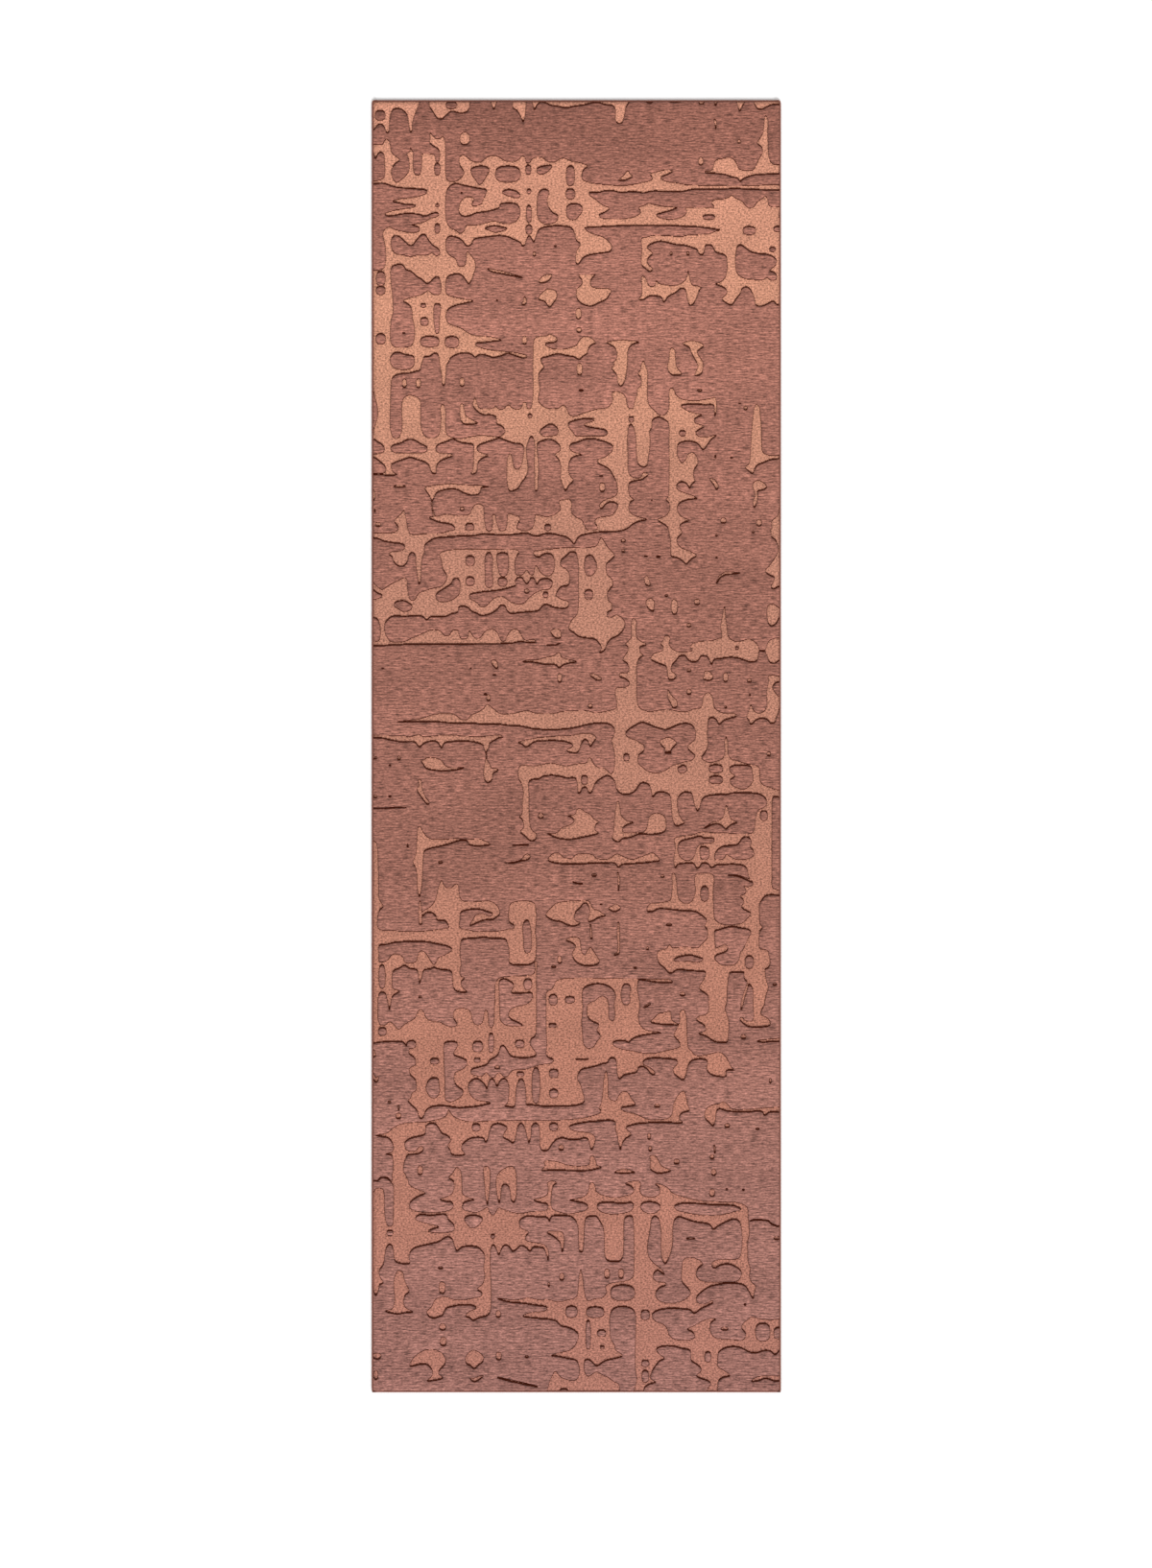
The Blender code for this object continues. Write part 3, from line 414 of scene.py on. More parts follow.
    # chenille islands in the lattice
    pile(5.85,101, 6.35,101, 6.3,99.5, 6.25,98.5, 6.05,98.25, 5.9,98.6)
    pile(1.7,95.9, 1.8,96.2, 2.2,96.55, 2.6,96.55, 3.1,96.35, 3.85,96.2, 4,95.6, 3.7,95.1, 3,94.95,
          2.05,95.15, 1.75,95.6)
    pile(-1,88.3, .2,88.5, .5,88.3, .95,88, 1.2,87.65, 1.1,87.3, .7,87.2, -1,87.15)
    pile(1.75,87.65, 2.05,87.95, 2.75,88.15, 3.2,88.4, 3.55,88.5, 4,88.4, 4.6,88.05, 5.15,87.75,
          5.15,87.45, 4.75,87.25, 3.75,87.2, 2.75,87.2, 2.05,87.3)
    pile(-1,93, .15,92.9, .3,92.3, .5,91.7, .6,91, .45,90.2, .25,89.6, .1,89, -1,88.9)
    pile(18.25,89.95, 18.6,90.15, 19.1,90.3, 20,90.4, 20.75,90.3, 20.3,90.1, 19.8,89.95, 19.7,89.8,
          20.1,89.65, 20.9,89.5, 21.7,89.35, 21.9,89.1, 21.7,88.85, 20.9,88.8, 19.8,88.8, 18.95,88.8,
          18.7,89.15, 18.4,89.5)
    pile(15.6,89.2, 16,89.6, 16.55,89.9, 17,89.75, 17.3,89.4, 17.25,88.95, 16.6,88.8, 15.9,88.8)
    pileIslet(14.7,90.65,.4,.35)
    pileIslet(.85,97.8,.9,.95)
    pileIslet(-.1,97.6,.4,1)
    pileIslet(4.9,99.4,.75,.75)
    pileIslet(5.4,97.55,1.75,1)
    pileIslet(7.45,97.5,1.3,1.05)
    pileIslet(24.1,90.35,.5,.5)
    pileIslet(28.85,89.05,.6,.5)
    pileIslet(9.1,80.3,.8,.75)
    pileIslet(16.35,80.3,.6,.55)
    # the bar below the lattice
    flat(4.9,84, 5.4,84.15, 6.4,84.3, 7.5,84.35, 8.75,84.25, 10,84.2, 11,84.1, 10.15,83.95, 10.05,83.5,
          9.6,83.3, 9,83.35, 8.5,83.55, 8,83.8, 7.4,83.9, 6.6,83.75, 6,83.5, 5.8,83.05, 5.6,82.75, 5.4,83.2,
          5.1,83.65)
    flatBar(5.6,82.8,.06, 5.6,82.2,.05, 5.8,81.4,.08)
    flat(-1,84.1, .15,83.9, .35,83.4, .3,83, .1,82.75, -1,82.75)
    flat(8.3,91.8, 8.45,91.8, 8.6,91.2, 8.75,90.7, 9.1,90.45, 9.5,90.2, 9.9,90.05, 9.5,89.9, 9,89.85,
          8.6,89.9, 8.3,90.2, 8.2,90.8)
    # free-standing figures
    flat(21.75,97.5, 22.3,97.6, 23,97.7, 23.5,97.7, 24.9,97.5, 24.2,97.3, 23.8,96.8, 23.75,95.6, 23.6,94.45,
          23.4,93.7, 23.1,93.4, 22.85,93.75, 22.75,94.45, 22.25,95.15, 22.6,95.4, 22.4,95.6, 22.75,95.95,
          22.75,96.6, 22.55,97, 22.1,97.3)
    flat(27.85,97, 28.1,96.8, 28.2,95.95, 28.3,95.2, 28.8,94.55, 27.8,94.5, 27.45,95.25, 27.6,95.8,
          27.65,96.55)
    flat(28.85,97.35, 29.3,97.6, 30.05,97.6, 30.5,97.45, 30.85,97.2, 30.2,96.6, 30.35,96.25, 30.7,95.75,
          30.75,95.2, 30.6,94.6, 30,94.4, 30.1,94.8, 30.3,95.25, 30.2,95.55, 29.9,96.1, 29.65,96.6, 29.5,97)
    flat(35.7,91.75, 35.95,91.55, 36.05,90.8, 36.15,89.95, 36.2,88.05, 36.3,87.3, 36.9,87, 39,87, 39,86.65,
          37.9,86.7, 37.05,86.6, 36.3,86.3, 35.8,86.1, 35.55,85.75, 35.35,85.3, 35.05,85.5, 34.65,85.9,
          35,86.2, 35.15,87, 35.2,88.05, 35.3,89.7, 35.4,90.6, 35.5,91.3)
    flat(35.35,84.3, 35.7,84.65, 36.05,84.65, 36.7,84.1, 36.3,83.8, 35.8,83.65, 35.85,83.1, 35.5,82.1,
          35.4,82.7, 35.6,83.3)
    flat(31.35,84.85, 31.75,84.8, 32.05,84.45, 32.2,84.1, 32,83.8, 31.8,84.2)
    flat(39,82.6, 37.9,82.3, 37.7,81.4, 37.2,81, 37.1,80.6, 37.2,80, 37.1,79.4, 39,79.4)
    # single marks in the chenille
    flatSpot(3.05,93.7,.4,.8)
    flatSpot(4.35,93.7,.45,.85)
    flatSpot(8.4,93.8,.45,.8)
    flatSpot(14.2,97.7,.4,.75)
    flatSpot(3,98.35,.35,.12)
    flatSpot(19.25,98.65,.45,.45)
    flatSpot(19.3,95,.5,1.1)
    flatSpot(19.45,93.05,.5,.15)
    flatSpot(30.45,93.05,.5,.18)
    flatSpot(34.7,91.4,.35,.35)
    flatSpot(34.15,91.85,.3,.12)
    flatSpot(33.4,86.8,.35,.12)
    flatSpot(31.9,86.9,.15,.35)
    flatSpot(21.4,84.05,.5,.85)
    flatSpot(21.3,85.1,.4,.12)
    flatSpot(26,82.85,.2,.12)
    flatSpot(8.4,82.05,.4,.35)
    flatSpot(2.6,84.15,1.2,.2)
    flatSpot(.3,81.9,.15,.3)
    flatSpot(.6,80.6,.5,.4)
    flatSpot(32.65,80.95,.55,.5)
    flatSpot(35.95,80.75,.5,.6)
    flatSpot(35.4,79.9,.2,.25)


def drawMiddleHigh():
    # the neck at the left, under the lattice
    flat(-1,79.75, 1.5,79.78, 2.3,79.95, 2.6,80.3, 3.3,80.3, 3.4,79.9, 3.6,79.65, 5.3,79.75, 6.4,79.75,
          7.4,79.95, 10.5,80, 10.2,79.72, 9.6,79.55, 8.75,79.5, 7.6,79.5, 6.9,79.4, 5.9,79.3, 5.25,78.95,
          4.9,78.6, 4.9,78.05, 4.7,77.5, 4.6,76.5, 4.55,75.4, 4.4,75, 4.3,75.4, 4.2,76.25, 4.1,77,
          4.05,77.75,
          3.75,78, 3.45,77.7, 3.3,77.1, 3,76.75, 2.6,76.7, 2.25,76.9, 2,77.3, 1.9,77.6, 1.6,77.85,
          1.9,78.05,
          2.5,78.1, 3,78.3, 3.1,78.6, 2.75,78.8, 1.9,78.9, 1.1,79.05, .5,79.3, -1,79.4)
    # the windowed block, its right-hand column and the scalloped strip below it
    flat(-1,75.3, 0,75.3, .25,75.1, .6,74.75, 1,74.55, 1.4,74.8, 1.9,75.1, 2.5,75.4, 3.1,75.65, 3.3,75.4,
          3.3,74.75, 3.45,74, 3.6,73.6, 4,73.6, 4.2,73.95, 4.4,74.2, 5.1,74.5, 5.9,74.7, 6.4,74.8,
          6.75,75.1,
          7,75.6, 6.9,76, 6.6,76.5, 6.5,77.25, 6.3,77.75, 6.4,77.95, 6.9,78.15, 7.5,78.25, 8.75,78.3,
          10,78.3,
          11.25,78.3, 12.6,78.25, 13.4,78.25, 13.7,78.05, 13.45,77.6, 13.3,77.1, 13.3,76.4, 13.4,75.95,
          13.7,75.9, 14.05,75.95, 14.4,76.4, 14.7,75.95, 15.05,75.95, 15.1,76.3, 15.25,76.85, 15.35,76.7,
          15.6,76.25, 16,75.9, 16.5,75.8, 16.9,76.25, 17,76.9, 16.95,77.4, 16.7,77.8, 16.25,77.9, 15.9,77.8,
          15.55,77.55, 15.2,77.65, 15,77.95, 15.1,78.1, 15.6,78.2, 16.6,78.3, 17.5,78.4, 18.6,78.45,
          19.7,78.4, 20.55,78.5, 20.8,78.55, 21.1,79, 21.3,79.4, 21.55,79.05, 21.9,78.5, 22.3,78.05,
          22.55,77.7, 22.2,77.3, 21.8,76.9, 21.75,76.4, 21.9,75.9, 22.3,75.5, 22.4,75, 22.05,74.5,
          21.85,74.1,
          22,73.5, 22.3,73.25, 22.25,72.6, 21.9,72.45, 21.9,72, 22.2,71.95, 22.7,72.2, 23.2,71.95,
          23.5,71.5,
          23.4,70.9, 22.9,70.3, 22.2,69.95, 21.85,69.5, 21.6,68.9, 21.1,68.65, 21.35,69.1, 21.15,69.5,
          20.7,69.95, 19.9,70.05, 19.2,70.2, 18.75,70.55, 18.3,70.9, 18.4,71.4, 18.6,71.75, 19.05,72.25,
          19.2,73.1, 19.2,75, 19.2,76.9, 19.05,77.7, 18.9,78, 18.4,78, 18.1,77.7, 17.75,77.45, 17.5,77.05,
          17.6,76.7, 18,76.5, 18.3,76.1, 18.4,75.6, 18.25,74.95, 17.6,74.8, 17.25,74.4, 17.1,74, 17.75,73.6,
          18.25,73.45, 18.3,73.05, 18,72.8, 16.9,72.9, 16.25,73.15, 15.9,73.05, 15.5,72.6, 15,72.5,
          13.6,72.4,
          13,72.3, 12.6,72.55, 12.4,73, 12,73.1, 11.75,72.8, 11.4,72.5, 10.75,72.2, 10.1,72.15, 9.75,72.35,
          9.25,72.55, 9,72.85, 8.5,73, 8.1,72.9, 8,72.45, 7.4,72.3, 6.9,72.05, 5.45,72, 5.1,71.7,
          4.75,72.05,
          3.1,72.05, 1.9,72.05, 1.5,71.75, 1.25,71.4, 1.2,70.75, 1.4,70.2, 1.75,69.75, 2.25,69.65,
          3.1,69.75,
          3.75,70.05, 4.4,70.3, 5,70.6, 5.5,70.8, 6.1,70.8, 6.5,70.6, 6.75,70.3, 7.2,70.3, 7.5,70.75,
          8,70.8,
          8.1,70.4, 8.3,70, 8.85,70, 9,70.4, 9.05,70.8, 9.4,70.25, 9.7,70, 10.05,70.05, 10.4,70.5,
          10.75,70.8, 11.4,70.8, 11.7,70.5, 11.9,70.05, 12.1,69.75, 12.4,69.8, 12.6,70.3, 12.95,70.75,
          13.4,70.9, 13.75,70.6, 14,70.1, 14.25,69.85, 15,69.9, 15.3,69.75, 15,69.6, 13.75,69.7, 12.9,69.55,
          10.1,69.5, 8.1,69.45, 5.1,69.45, 3.1,69.45, -1,69.4, -1,69.7, .6,69.75, .8,70.2, .8,71.1,
          .65,71.6, .4,71.9, -1,72)
    pile(-1,74.7, 0,74.6, .5,74.25, 1,74, .75,73.75, -1,73.7)
    pile(2.05,73.05, 2.3,73.4, 3,73.5, 3.5,73.25, 3.8,73, 3.5,72.6, 3,72.5, 2.5,72.75)
    pile(5.95,74, 6.2,74.3, 6.9,74.75, 7.4,75.1, 7.6,75.5, 7.95,75.6, 8.2,75.25, 8.2,74.6, 8.1,74.1,
          7.5,73.6, 6.75,73.4, 6.1,73.55)
    pile(9.1,74.05, 10.1,74.3, 11.1,74.4, 11.9,74.5, 12.9,74.75, 13.4,74.95, 13.3,75.25, 13.5,75.6,
          13.95,75.65, 14.15,75.35, 14.4,75.05, 14.65,75.35, 14.8,75.65, 15.05,75.6, 15.35,75, 15.6,75.4,
          16,75.55, 16.5,75.5, 16.8,75.2, 16.5,74.6, 15.75,74.5, 15,74.1, 14.55,73.7, 14.1,73.25, 13.6,73.2,
          13,73.35, 12.5,73.7, 12.1,73.9, 11.4,73.75, 11,73.4, 10.6,73, 10.1,73, 9.75,73.35, 9.1,73.75)
    pile(10.9,78, 11.2,77.6, 11.2,76, 11.25,75, 10.95,74.7, 10.6,74.9, 10.55,76, 10.55,77.6)
    pile(11.7,77.85, 12.6,77.85, 12.7,77, 12.6,76, 12.25,75.75, 11.9,75.9, 11.75,76.5, 11.6,77.4)
    pile(19.85,77.5, 20.1,77.7, 20.5,77.65, 20.7,77.3, 20.9,76.9, 20.8,76.3, 20.5,75.9, 20,75.85,
          19.8,76.2, 19.75,77)
    pileIslet(9.15,77.2,.85,.9)
    pileIslet(9.15,75.3,.8,.8)
    pileIslet(12.15,75.25,.85,.8)
    pileIslet(16.15,74.05,.5,.5)
    pileIslet(20.15,74.05,.8,.9)
    flatSpot(14.4,74.4,.45,.4)
    # the tail of the stem from above, and figures along the right edge
    flat(27.6,80.2, 28.6,80.2, 28.8,79.75, 28.4,79.4, 28.35,78.9, 28.7,78.45, 29.3,78.2, 29.85,77.95,
          30.2,77.7, 29.9,77.5, 29.5,77.2, 29.2,76.9, 28.8,77.25, 28.3,77.5, 27.8,77.65, 27.75,78.4,
          27.75,79.1, 27.6,79.8)
    flat(39,80.2, 37.1,80.2, 37.1,79.6, 37.55,79, 37.75,78.4, 37.6,77.8, 37.3,77.3, 36.9,76.75, 36.5,76.25,
          36.9,75.9, 37.4,75.65, 37.25,75.2, 37.05,74.75, 37.3,74.6, 37.7,74.8, 39,75.2)
    flat(36.75,73, 37.2,73.2, 37.55,73.05, 37.85,72.8, 39,72.6, 39,71.9, 37.85,71.9, 37.55,71.4, 37.1,71.15,
          36.8,71.45, 36.7,72)
    flat(36.7,69.4, 36.9,69.8, 37.4,70, 39,70, 39,68.2, 37.8,67.95, 37.4,67.7, 36.95,67.8, 36.75,68.25,
          36.55,68.8)
    flatBar(36,68.9,.05, 36.7,68.85,.05)
    flat(25.9,68.1, 26.05,68.45, 26.4,68.7, 27,68.9, 27.05,69.25, 26.8,69.5, 27.05,69.8, 27.2,70.2,
          27.5,70.3, 27.7,70, 27.6,69.5, 27.9,69.05, 28.4,68.8, 29.4,68.8, 29.8,68.9, 29.55,69.2,
          29.85,69.55,
          30.55,69.75, 31.55,69.8, 32.2,70, 32.5,70.1, 32.4,71, 32.55,72.1, 32.75,73.05, 32.85,72, 33,70.9,
          33.1,70.2, 33.55,69.8, 34.2,69.75, 35.05,69.95, 35.55,69.7, 35.9,69.25, 35.9,68.5, 35.75,67.95,
          35.2,67.8, 34.55,68, 33.9,68.2, 33.2,68.25, 32.2,68.1, 31.8,68.05, 31.55,67.55, 31.35,68,
          31.1,68.35, 30.55,68.35, 30.35,68, 29.9,67.8, 29.4,68, 29.1,68.4, 28.55,68.35, 28.3,68,
          27.9,67.55,
          27.8,67, 28.2,66.7, 28.25,66.4, 27.9,66.15, 27.6,66.2, 27.45,66.75, 27.35,67.4, 27.05,67.55,
          26.4,67.8)
    pileIslet(33.9,69.1,.35,.25)
    flat(35.2,63.9, 35.4,63.4, 35.9,63.05, 36.4,63.25, 36.7,63.75, 36.65,64.5, 36.7,65.4, 36.85,66,
          36.8,66.5, 37.2,66.6, 37.7,66.5, 39,66.5, 39,66, 37.8,66, 37.4,65.8, 37.2,65.45, 37.4,65.05,
          37.9,64.55, 39,64.3, 39,63.2, 37.9,63.5, 37.75,63.1, 37.55,62.65, 37.4,62.2, 37.05,62.1,
          36.75,62.45,
          36.3,62.6, 35.7,62.45, 35.2,62, 35,62.4, 34.8,62.75, 35,63.25)
    # the long band and its uprights
    flat(2,62.25, 2.9,62.35, 4.1,62.5, 5,62.7, 5.6,62.9, 6.4,63.05, 7.4,63.05, 8,62.75, 8.3,62.5, 8.9,62.5,
          9.25,62.9, 9.75,63.1, 10.4,63.5, 10.7,63.9, 11.1,63.65, 11.6,63.25, 11.9,63.05, 13.1,63.05,
          14.5,63.3, 15.1,63.1, 16.9,63.05, 17.5,63.2, 18.75,63.3, 20.05,63.3, 20.7,63.1, 21.55,63.2,
          22.4,63.4, 22.75,63.6, 22.7,64.25, 22.6,65, 22.75,65.45, 23.4,65.45, 23.9,65.7, 23.9,65.95,
          23.55,66.25, 23,66.5, 23.05,66.8, 23.7,66.8, 23.9,67.25, 23.7,67.7, 23.3,68, 23.5,68.4, 23.8,68.9,
          23.75,69.3, 23.5,69.45, 23.8,69.75, 24.1,70.1, 24.1,71, 24.25,71.9, 24.55,71.6, 24.55,70.9,
          24.6,70.1, 24.9,69.8, 25.55,69.45, 24.9,69.2, 24.9,68.75, 25.2,68.45, 24.8,68.1, 24.6,67.4,
          24.6,66.25, 24.6,65, 24.7,63.9, 24.9,63.55, 25.4,63.3, 25.9,63.2, 26.4,63.3, 27.55,63.4,
          28.4,63.25,
          29.2,63.2, 29.9,63.45, 30.5,63.55, 30.7,64, 30.8,64.6, 31.2,65, 31.55,64.75, 31.7,64.25,
          31.8,63.6,
          32.3,63.2, 32.9,63.05, 33.8,63, 33.9,62.8, 33.3,62.6, 32.7,62.4, 32.25,62, 32,62.45, 31.7,62.65,
          31.3,62.55, 31.2,62.1, 31.15,61.1, 31.15,60, 29.4,60, 29.6,60.3, 30,60.6, 30,61.6, 29.55,62.05,
          28.9,62.1, 28.2,61.9, 27.3,61.55, 26.4,61.75, 25.7,62.05, 25.05,62.2, 24.4,61.9, 23.8,61.5,
          23.55,61.1, 23.9,60.8, 24.55,60.55, 25.05,60.2, 25.25,60, 22.5,60, 22.4,60.1, 22.25,60.55,
          22.5,61.05, 22.55,61.6, 22.05,62.05, 21.4,62.15, 20.55,62.1, 19.8,61.95, 19.2,61.8, 18.1,61.6,
          16.9,61.55, 15.1,61.6, 14.4,61.75, 13.6,61.9, 12.5,61.95, 11.75,62.05, 10.6,62.05, 8.75,62.15,
          7.1,62.15, 6.4,62.25, 5,62.25, 3.6,62.25)
    # the thin bands just below it
    flat(-1,61, 1,61, 2.9,60.95, 3.75,60.9, 4.4,61.1, 4.75,60.9, 6.25,61, 7.4,61.05, 8.4,60.95, 10,60.9,
          11,60.95, 11.9,61.05, 12.25,60.8, 11.9,60.8, 11.4,60.55, 10.95,60.25, 10.75,59.7, 10.5,59.7,
          10.4,60.05, 9.9,60.3, 9.1,60.45, 8.1,60.45, 6.75,60.3, 6.5,59.8, 6.1,60.4, 5.4,60.45, 4.75,60.2,
          4.5,59.9, 4.25,60.1, 4,60.4, 2.75,60.4, 1.9,60.55, 1,60.75, -1,60.8)
    flat(13.55,60.35, 14.5,60.6, 15.1,60.75, 16.1,60.85, 17.5,60.95, 18.6,61, 19.2,61.15, 19.9,61.2,
          20.55,61.1, 20.85,60.8, 20.6,60.4, 20.3,59.95, 20,60.55, 19.7,60.6, 19.4,60.1, 19.3,59.75,
          19.1,59.42, 18.6,59.4, 18.2,59.5, 18.1,59.7, 18.5,59.88,
          18.7,60.1, 18.1,60.4, 17.4,60.5, 16,60.5, 15.1,60.4, 14.6,60.05, 14.3,59.9, 13.95,60.2)
    flat(26.75,60.5, 27.2,60.75, 27.5,60.85, 27.9,60.7, 28.3,60.3, 27.9,59.8, 27.75,59.55, 27.3,59.5,
          27.2,59.8, 26.9,60.1)
    # single marks in the chenille
    flat(13.95,67.85, 14.4,68, 15.6,68.05, 16.1,68.25, 16.9,68.4, 17.4,68.75, 17.6,68.3, 18.1,68.1,
          19.1,67.85, 18.25,67.7, 17.7,67.5, 17.4,67.25, 17.1,67.55, 16.1,67.6, 15,67.8)
    flat(11.1,67.9, 11.4,68.05, 11.65,67.8, 11.75,67.4, 11.6,67.2, 11.35,67.4, 11.15,67.7)
    flat(16.6,70.7, 17,70.9, 17.4,70.85, 17.6,70.4, 17.5,70.05, 17.1,70.05, 16.8,70.3)
    flat(20.2,66.65, 20.5,66.75, 21,66.55, 21.35,66.3, 21.3,66.15, 20.9,66.15, 20.5,66.4)
    flat(25.3,75.7, 25.6,75.8, 25.75,75.4, 25.9,74.95, 25.5,74.95, 25.35,75.3)
    flat(25.45,73.4, 25.7,73.7, 26,73.7, 26.25,73.4, 26.2,73, 26.15,72.5, 25.9,72.6, 25.6,72.9)
    flat(27.8,73.2, 28,73.65, 28.3,73.5, 28.4,73, 28.35,72.5, 28.1,72.2, 27.85,72.5)
    flat(30.85,66.9, 31.2,67, 31.5,66.8, 31.7,66.4, 31.4,66.1, 31,66.15, 30.75,66.3, 30.9,66.6)
    flat(27.5,65.3, 27.8,64.75, 28.3,64.25, 28.35,63.7, 28,63.55, 27.75,64, 27.5,64.5)
    flatBar(32,75.15,.05, 32.3,75.75,.1, 32.8,76.05,.12, 33.4,76.07,.1, 34.2,76.1,.04)
    flatBar(16.2,69.38,.04, 17.1,69.42,.04, 17.5,69.6,.04)
    flatSpot(11.4,66.65,.35,.12)
    flatSpot(9.2,67.25,.25,.12)
    flatSpot(1.05,67.25,.3,.12)
    flatSpot(17.45,66.35,.4,.85)
    flatSpot(10.85,64.5,.35,.6)
    flatSpot(10.55,64.85,.3,.15)
    flatSpot(20.3,63.75,.4,.4)
    flatSpot(23.35,79.1,.45,.3)
    flatSpot(23.35,78.15,.35,.25)
    flatSpot(25.45,77.65,.4,.12)
    flatSpot(26.6,77.6,.45,.15)
    flatSpot(32,79.6,.2,.25)
    flatSpot(32,77.55,.25,.15)
    flatSpot(27.35,74,.3,.2)
    flatSpot(30.2,73.4,.5,.55)
    flatSpot(29.45,71.25,.4,.35)
    flatSpot(29.45,67.05,.4,.25)
    flatSpot(32.85,66.4,.45,.85)
    flatSpot(35.05,66.1,.4,.35)
    flatSpot(29.45,65.05,.45,.5)
    flatSpot(32.85,63.65,.25,.2)
    flatSpot(35.1,64.8,.15,.25)
    flatSpot(32.9,60.75,.15,.3)


def drawMiddleLow():
    # the broad field at the right, with its bands, uprights and rungs
    flat(22.45,60.2, 22.55,59.45, 22.55,58.1, 22.4,57.6, 22.2,57.45, 21.9,57.7, 21.6,57.98, 21.2,58,
          20.75,58.2, 20.5,58.6, 20.3,58.95, 20.1,58.9, 20,58.5, 19.4,58.4, 18.9,58.35, 18.1,58.15,
          17.4,58.3,
          16.6,58.45, 15.6,58.25, 15,58.15, 14.25,58.25, 13.75,58.15, 13.6,57.45, 13.7,56.85, 13.9,56.6,
          14,56.2, 14.1,55.6, 14,55, 14,54.35, 13.95,53.7, 13.7,53.45, 13.9,53.3, 14.1,52.95, 14.1,52.45,
          13.75,52.05, 14,51.85, 14.3,51.6, 14.6,51.3, 14.9,51.2, 15.2,51.35, 15.3,51.85, 15,52.1,
          14.75,52.45,
          14.65,53.1, 14.6,54.35, 14.6,55.6, 14.6,56.7, 14.9,56.9, 15.5,56.95, 15.9,57.2, 16.75,57.3,
          17.5,57.2, 18.1,57.05, 18.85,57.05, 19.05,56.8, 19.1,56.2, 19.2,55.6, 19.4,55.75, 19.55,56.1,
          19.9,56.2, 20.05,55.9, 20.25,55.6, 20.5,55.9, 20.7,56.45, 21.05,56.85, 21.55,57.15, 21.9,57.3,
          22.4,56.95, 22.6,56.6, 22.75,56, 23.05,55.65, 23.55,55.5, 24.05,55.6, 24.5,55.9, 24.75,56.3,
          25.05,56.6, 25.4,56.6, 25.8,56.35, 25.95,55.85, 26.1,55.25, 26.4,55.65, 26.9,55.75, 27.4,55.65,
          27.7,55.4, 27.8,54.6, 27.85,53.85, 28.05,52.85, 28.3,52.6, 28.7,52.7, 29.1,52.95, 28.9,53.1,
          28.55,53.6, 28.4,54.35, 28.4,55.1, 28.75,55.6, 29.2,55.75, 29.7,55.6, 29.8,55.3, 29.9,54.85,
          30.05,54.35, 30.25,53.95, 30.45,54.35, 30.55,54.75, 30.75,55.15, 31.2,55.4, 31.9,55.5, 32.9,55.5,
          33.55,55.65, 34.7,55.65, 35.8,55.6, 36.2,55.45, 36.55,55.15, 36.7,54.7, 36.4,54.3, 35.9,54.1,
          35.7,53.6, 35.6,53, 35.55,52.5, 35.4,52, 35,51.87, 34.05,51.85, 32.8,51.95, 31.7,51.95,
          30.9,52.05,
          30.3,51.95, 29.7,51.75, 28.8,51.65, 28.1,51.45, 28.2,50.6, 28.05,49.35, 28.2,48.65, 28.4,49,
          28.9,49.1, 29.9,49.1, 30.1,48.75, 30.3,48.65, 30.5,48.85, 30.6,49.1, 31.2,49.1, 31.55,48.7,
          31.9,48.95, 32.8,49, 33.4,49.05, 34.4,48.95, 34.75,48.75, 34.9,48.4, 35,47.9, 35.4,47.2,
          34.9,46.95,
          34.5,47.1, 34.75,46.6, 34.6,46.25, 34.15,46.1, 34.5,45.75, 34.5,45.4, 34.3,45.15, 34.5,44.9,
          34.85,44.7, 35.2,44.5, 34.85,44, 34.4,43.6, 33.8,43.45, 32.9,43.4, 32.25,43.6, 31.85,43.95,
          31.75,44.5, 31.7,46.5, 31.7,48.05, 30.9,48.2, 30.05,48.1, 30.05,46.5, 29.9,45.95, 29.7,45.6,
          29.2,45.4, 28.6,45.7, 28.4,46.2, 28.3,47.35, 28.1,48.2, 27.9,48.2, 27.9,47.3, 27.85,46.2,
          27.7,45.7,
          27.4,45.6, 26.55,45.45, 25.8,45.35, 25.55,44.9, 25.6,44.65, 26.2,44.7, 26.55,44.9, 27.8,44.85,
          29.05,44.7, 30.05,44.65, 30.55,44.35, 31.1,43.85, 30.9,43.3, 31.15,42.95, 31.15,42.2, 30.9,41.9,
          30.5,41.5, 30.2,41.2, 29.4,41, 28.7,41.05, 27.9,41.25, 27.7,41.6, 27.35,41.2, 27.05,40.85,
          26.7,40.7,
          26.6,40.1, 27.05,39.65, 27.6,39.4, 36.8,39.4, 36.85,40.6, 36.5,40.65, 36.25,40.75, 36,41.35,
          35.95,42.1, 36.05,42.85, 36.3,43.2, 36.05,43.5, 36,44.3, 36,45.35, 36.2,45.7, 36.55,46.1,
          36.9,46.2,
          39,46.2, 39,46.6, 37.9,46.6, 37.55,46.7, 37.2,46.9, 37.15,48.1, 37.15,53.1, 37.2,55.1, 37.3,55.3,
          37.9,55.25, 39,55.3, 39,55.9, 37.7,55.95, 36.9,56.2, 36.3,56.45, 36.05,56.85, 36,57.85,
          35.85,58.15,
          35.3,58.3, 34.7,58.4, 34.05,58.6, 33.4,58.8, 33.15,59.1, 33.05,59.85, 33,60.6, 32.8,60.6,
          32.75,60.1, 32.8,59.4, 32.55,58.85, 32.05,58.6, 31.4,58.5, 30.9,58.65, 30.6,58.95, 30.8,59.2,
          31.05,59.6, 31.15,60.2, 29.5,60.2, 29.3,59.95, 29.5,59.6, 29.85,59.3, 30,59.1, 29.7,58.7,
          29.05,58.55, 28.4,58.35, 27.8,58.15, 27.4,57.85, 26.9,57.6, 26.3,57.5, 25.6,57.7, 25.1,58.1,
          24.75,58.4, 24.7,58.85, 24.8,59.2, 25.2,59.5, 25.3,59.85, 25.2,60.2)
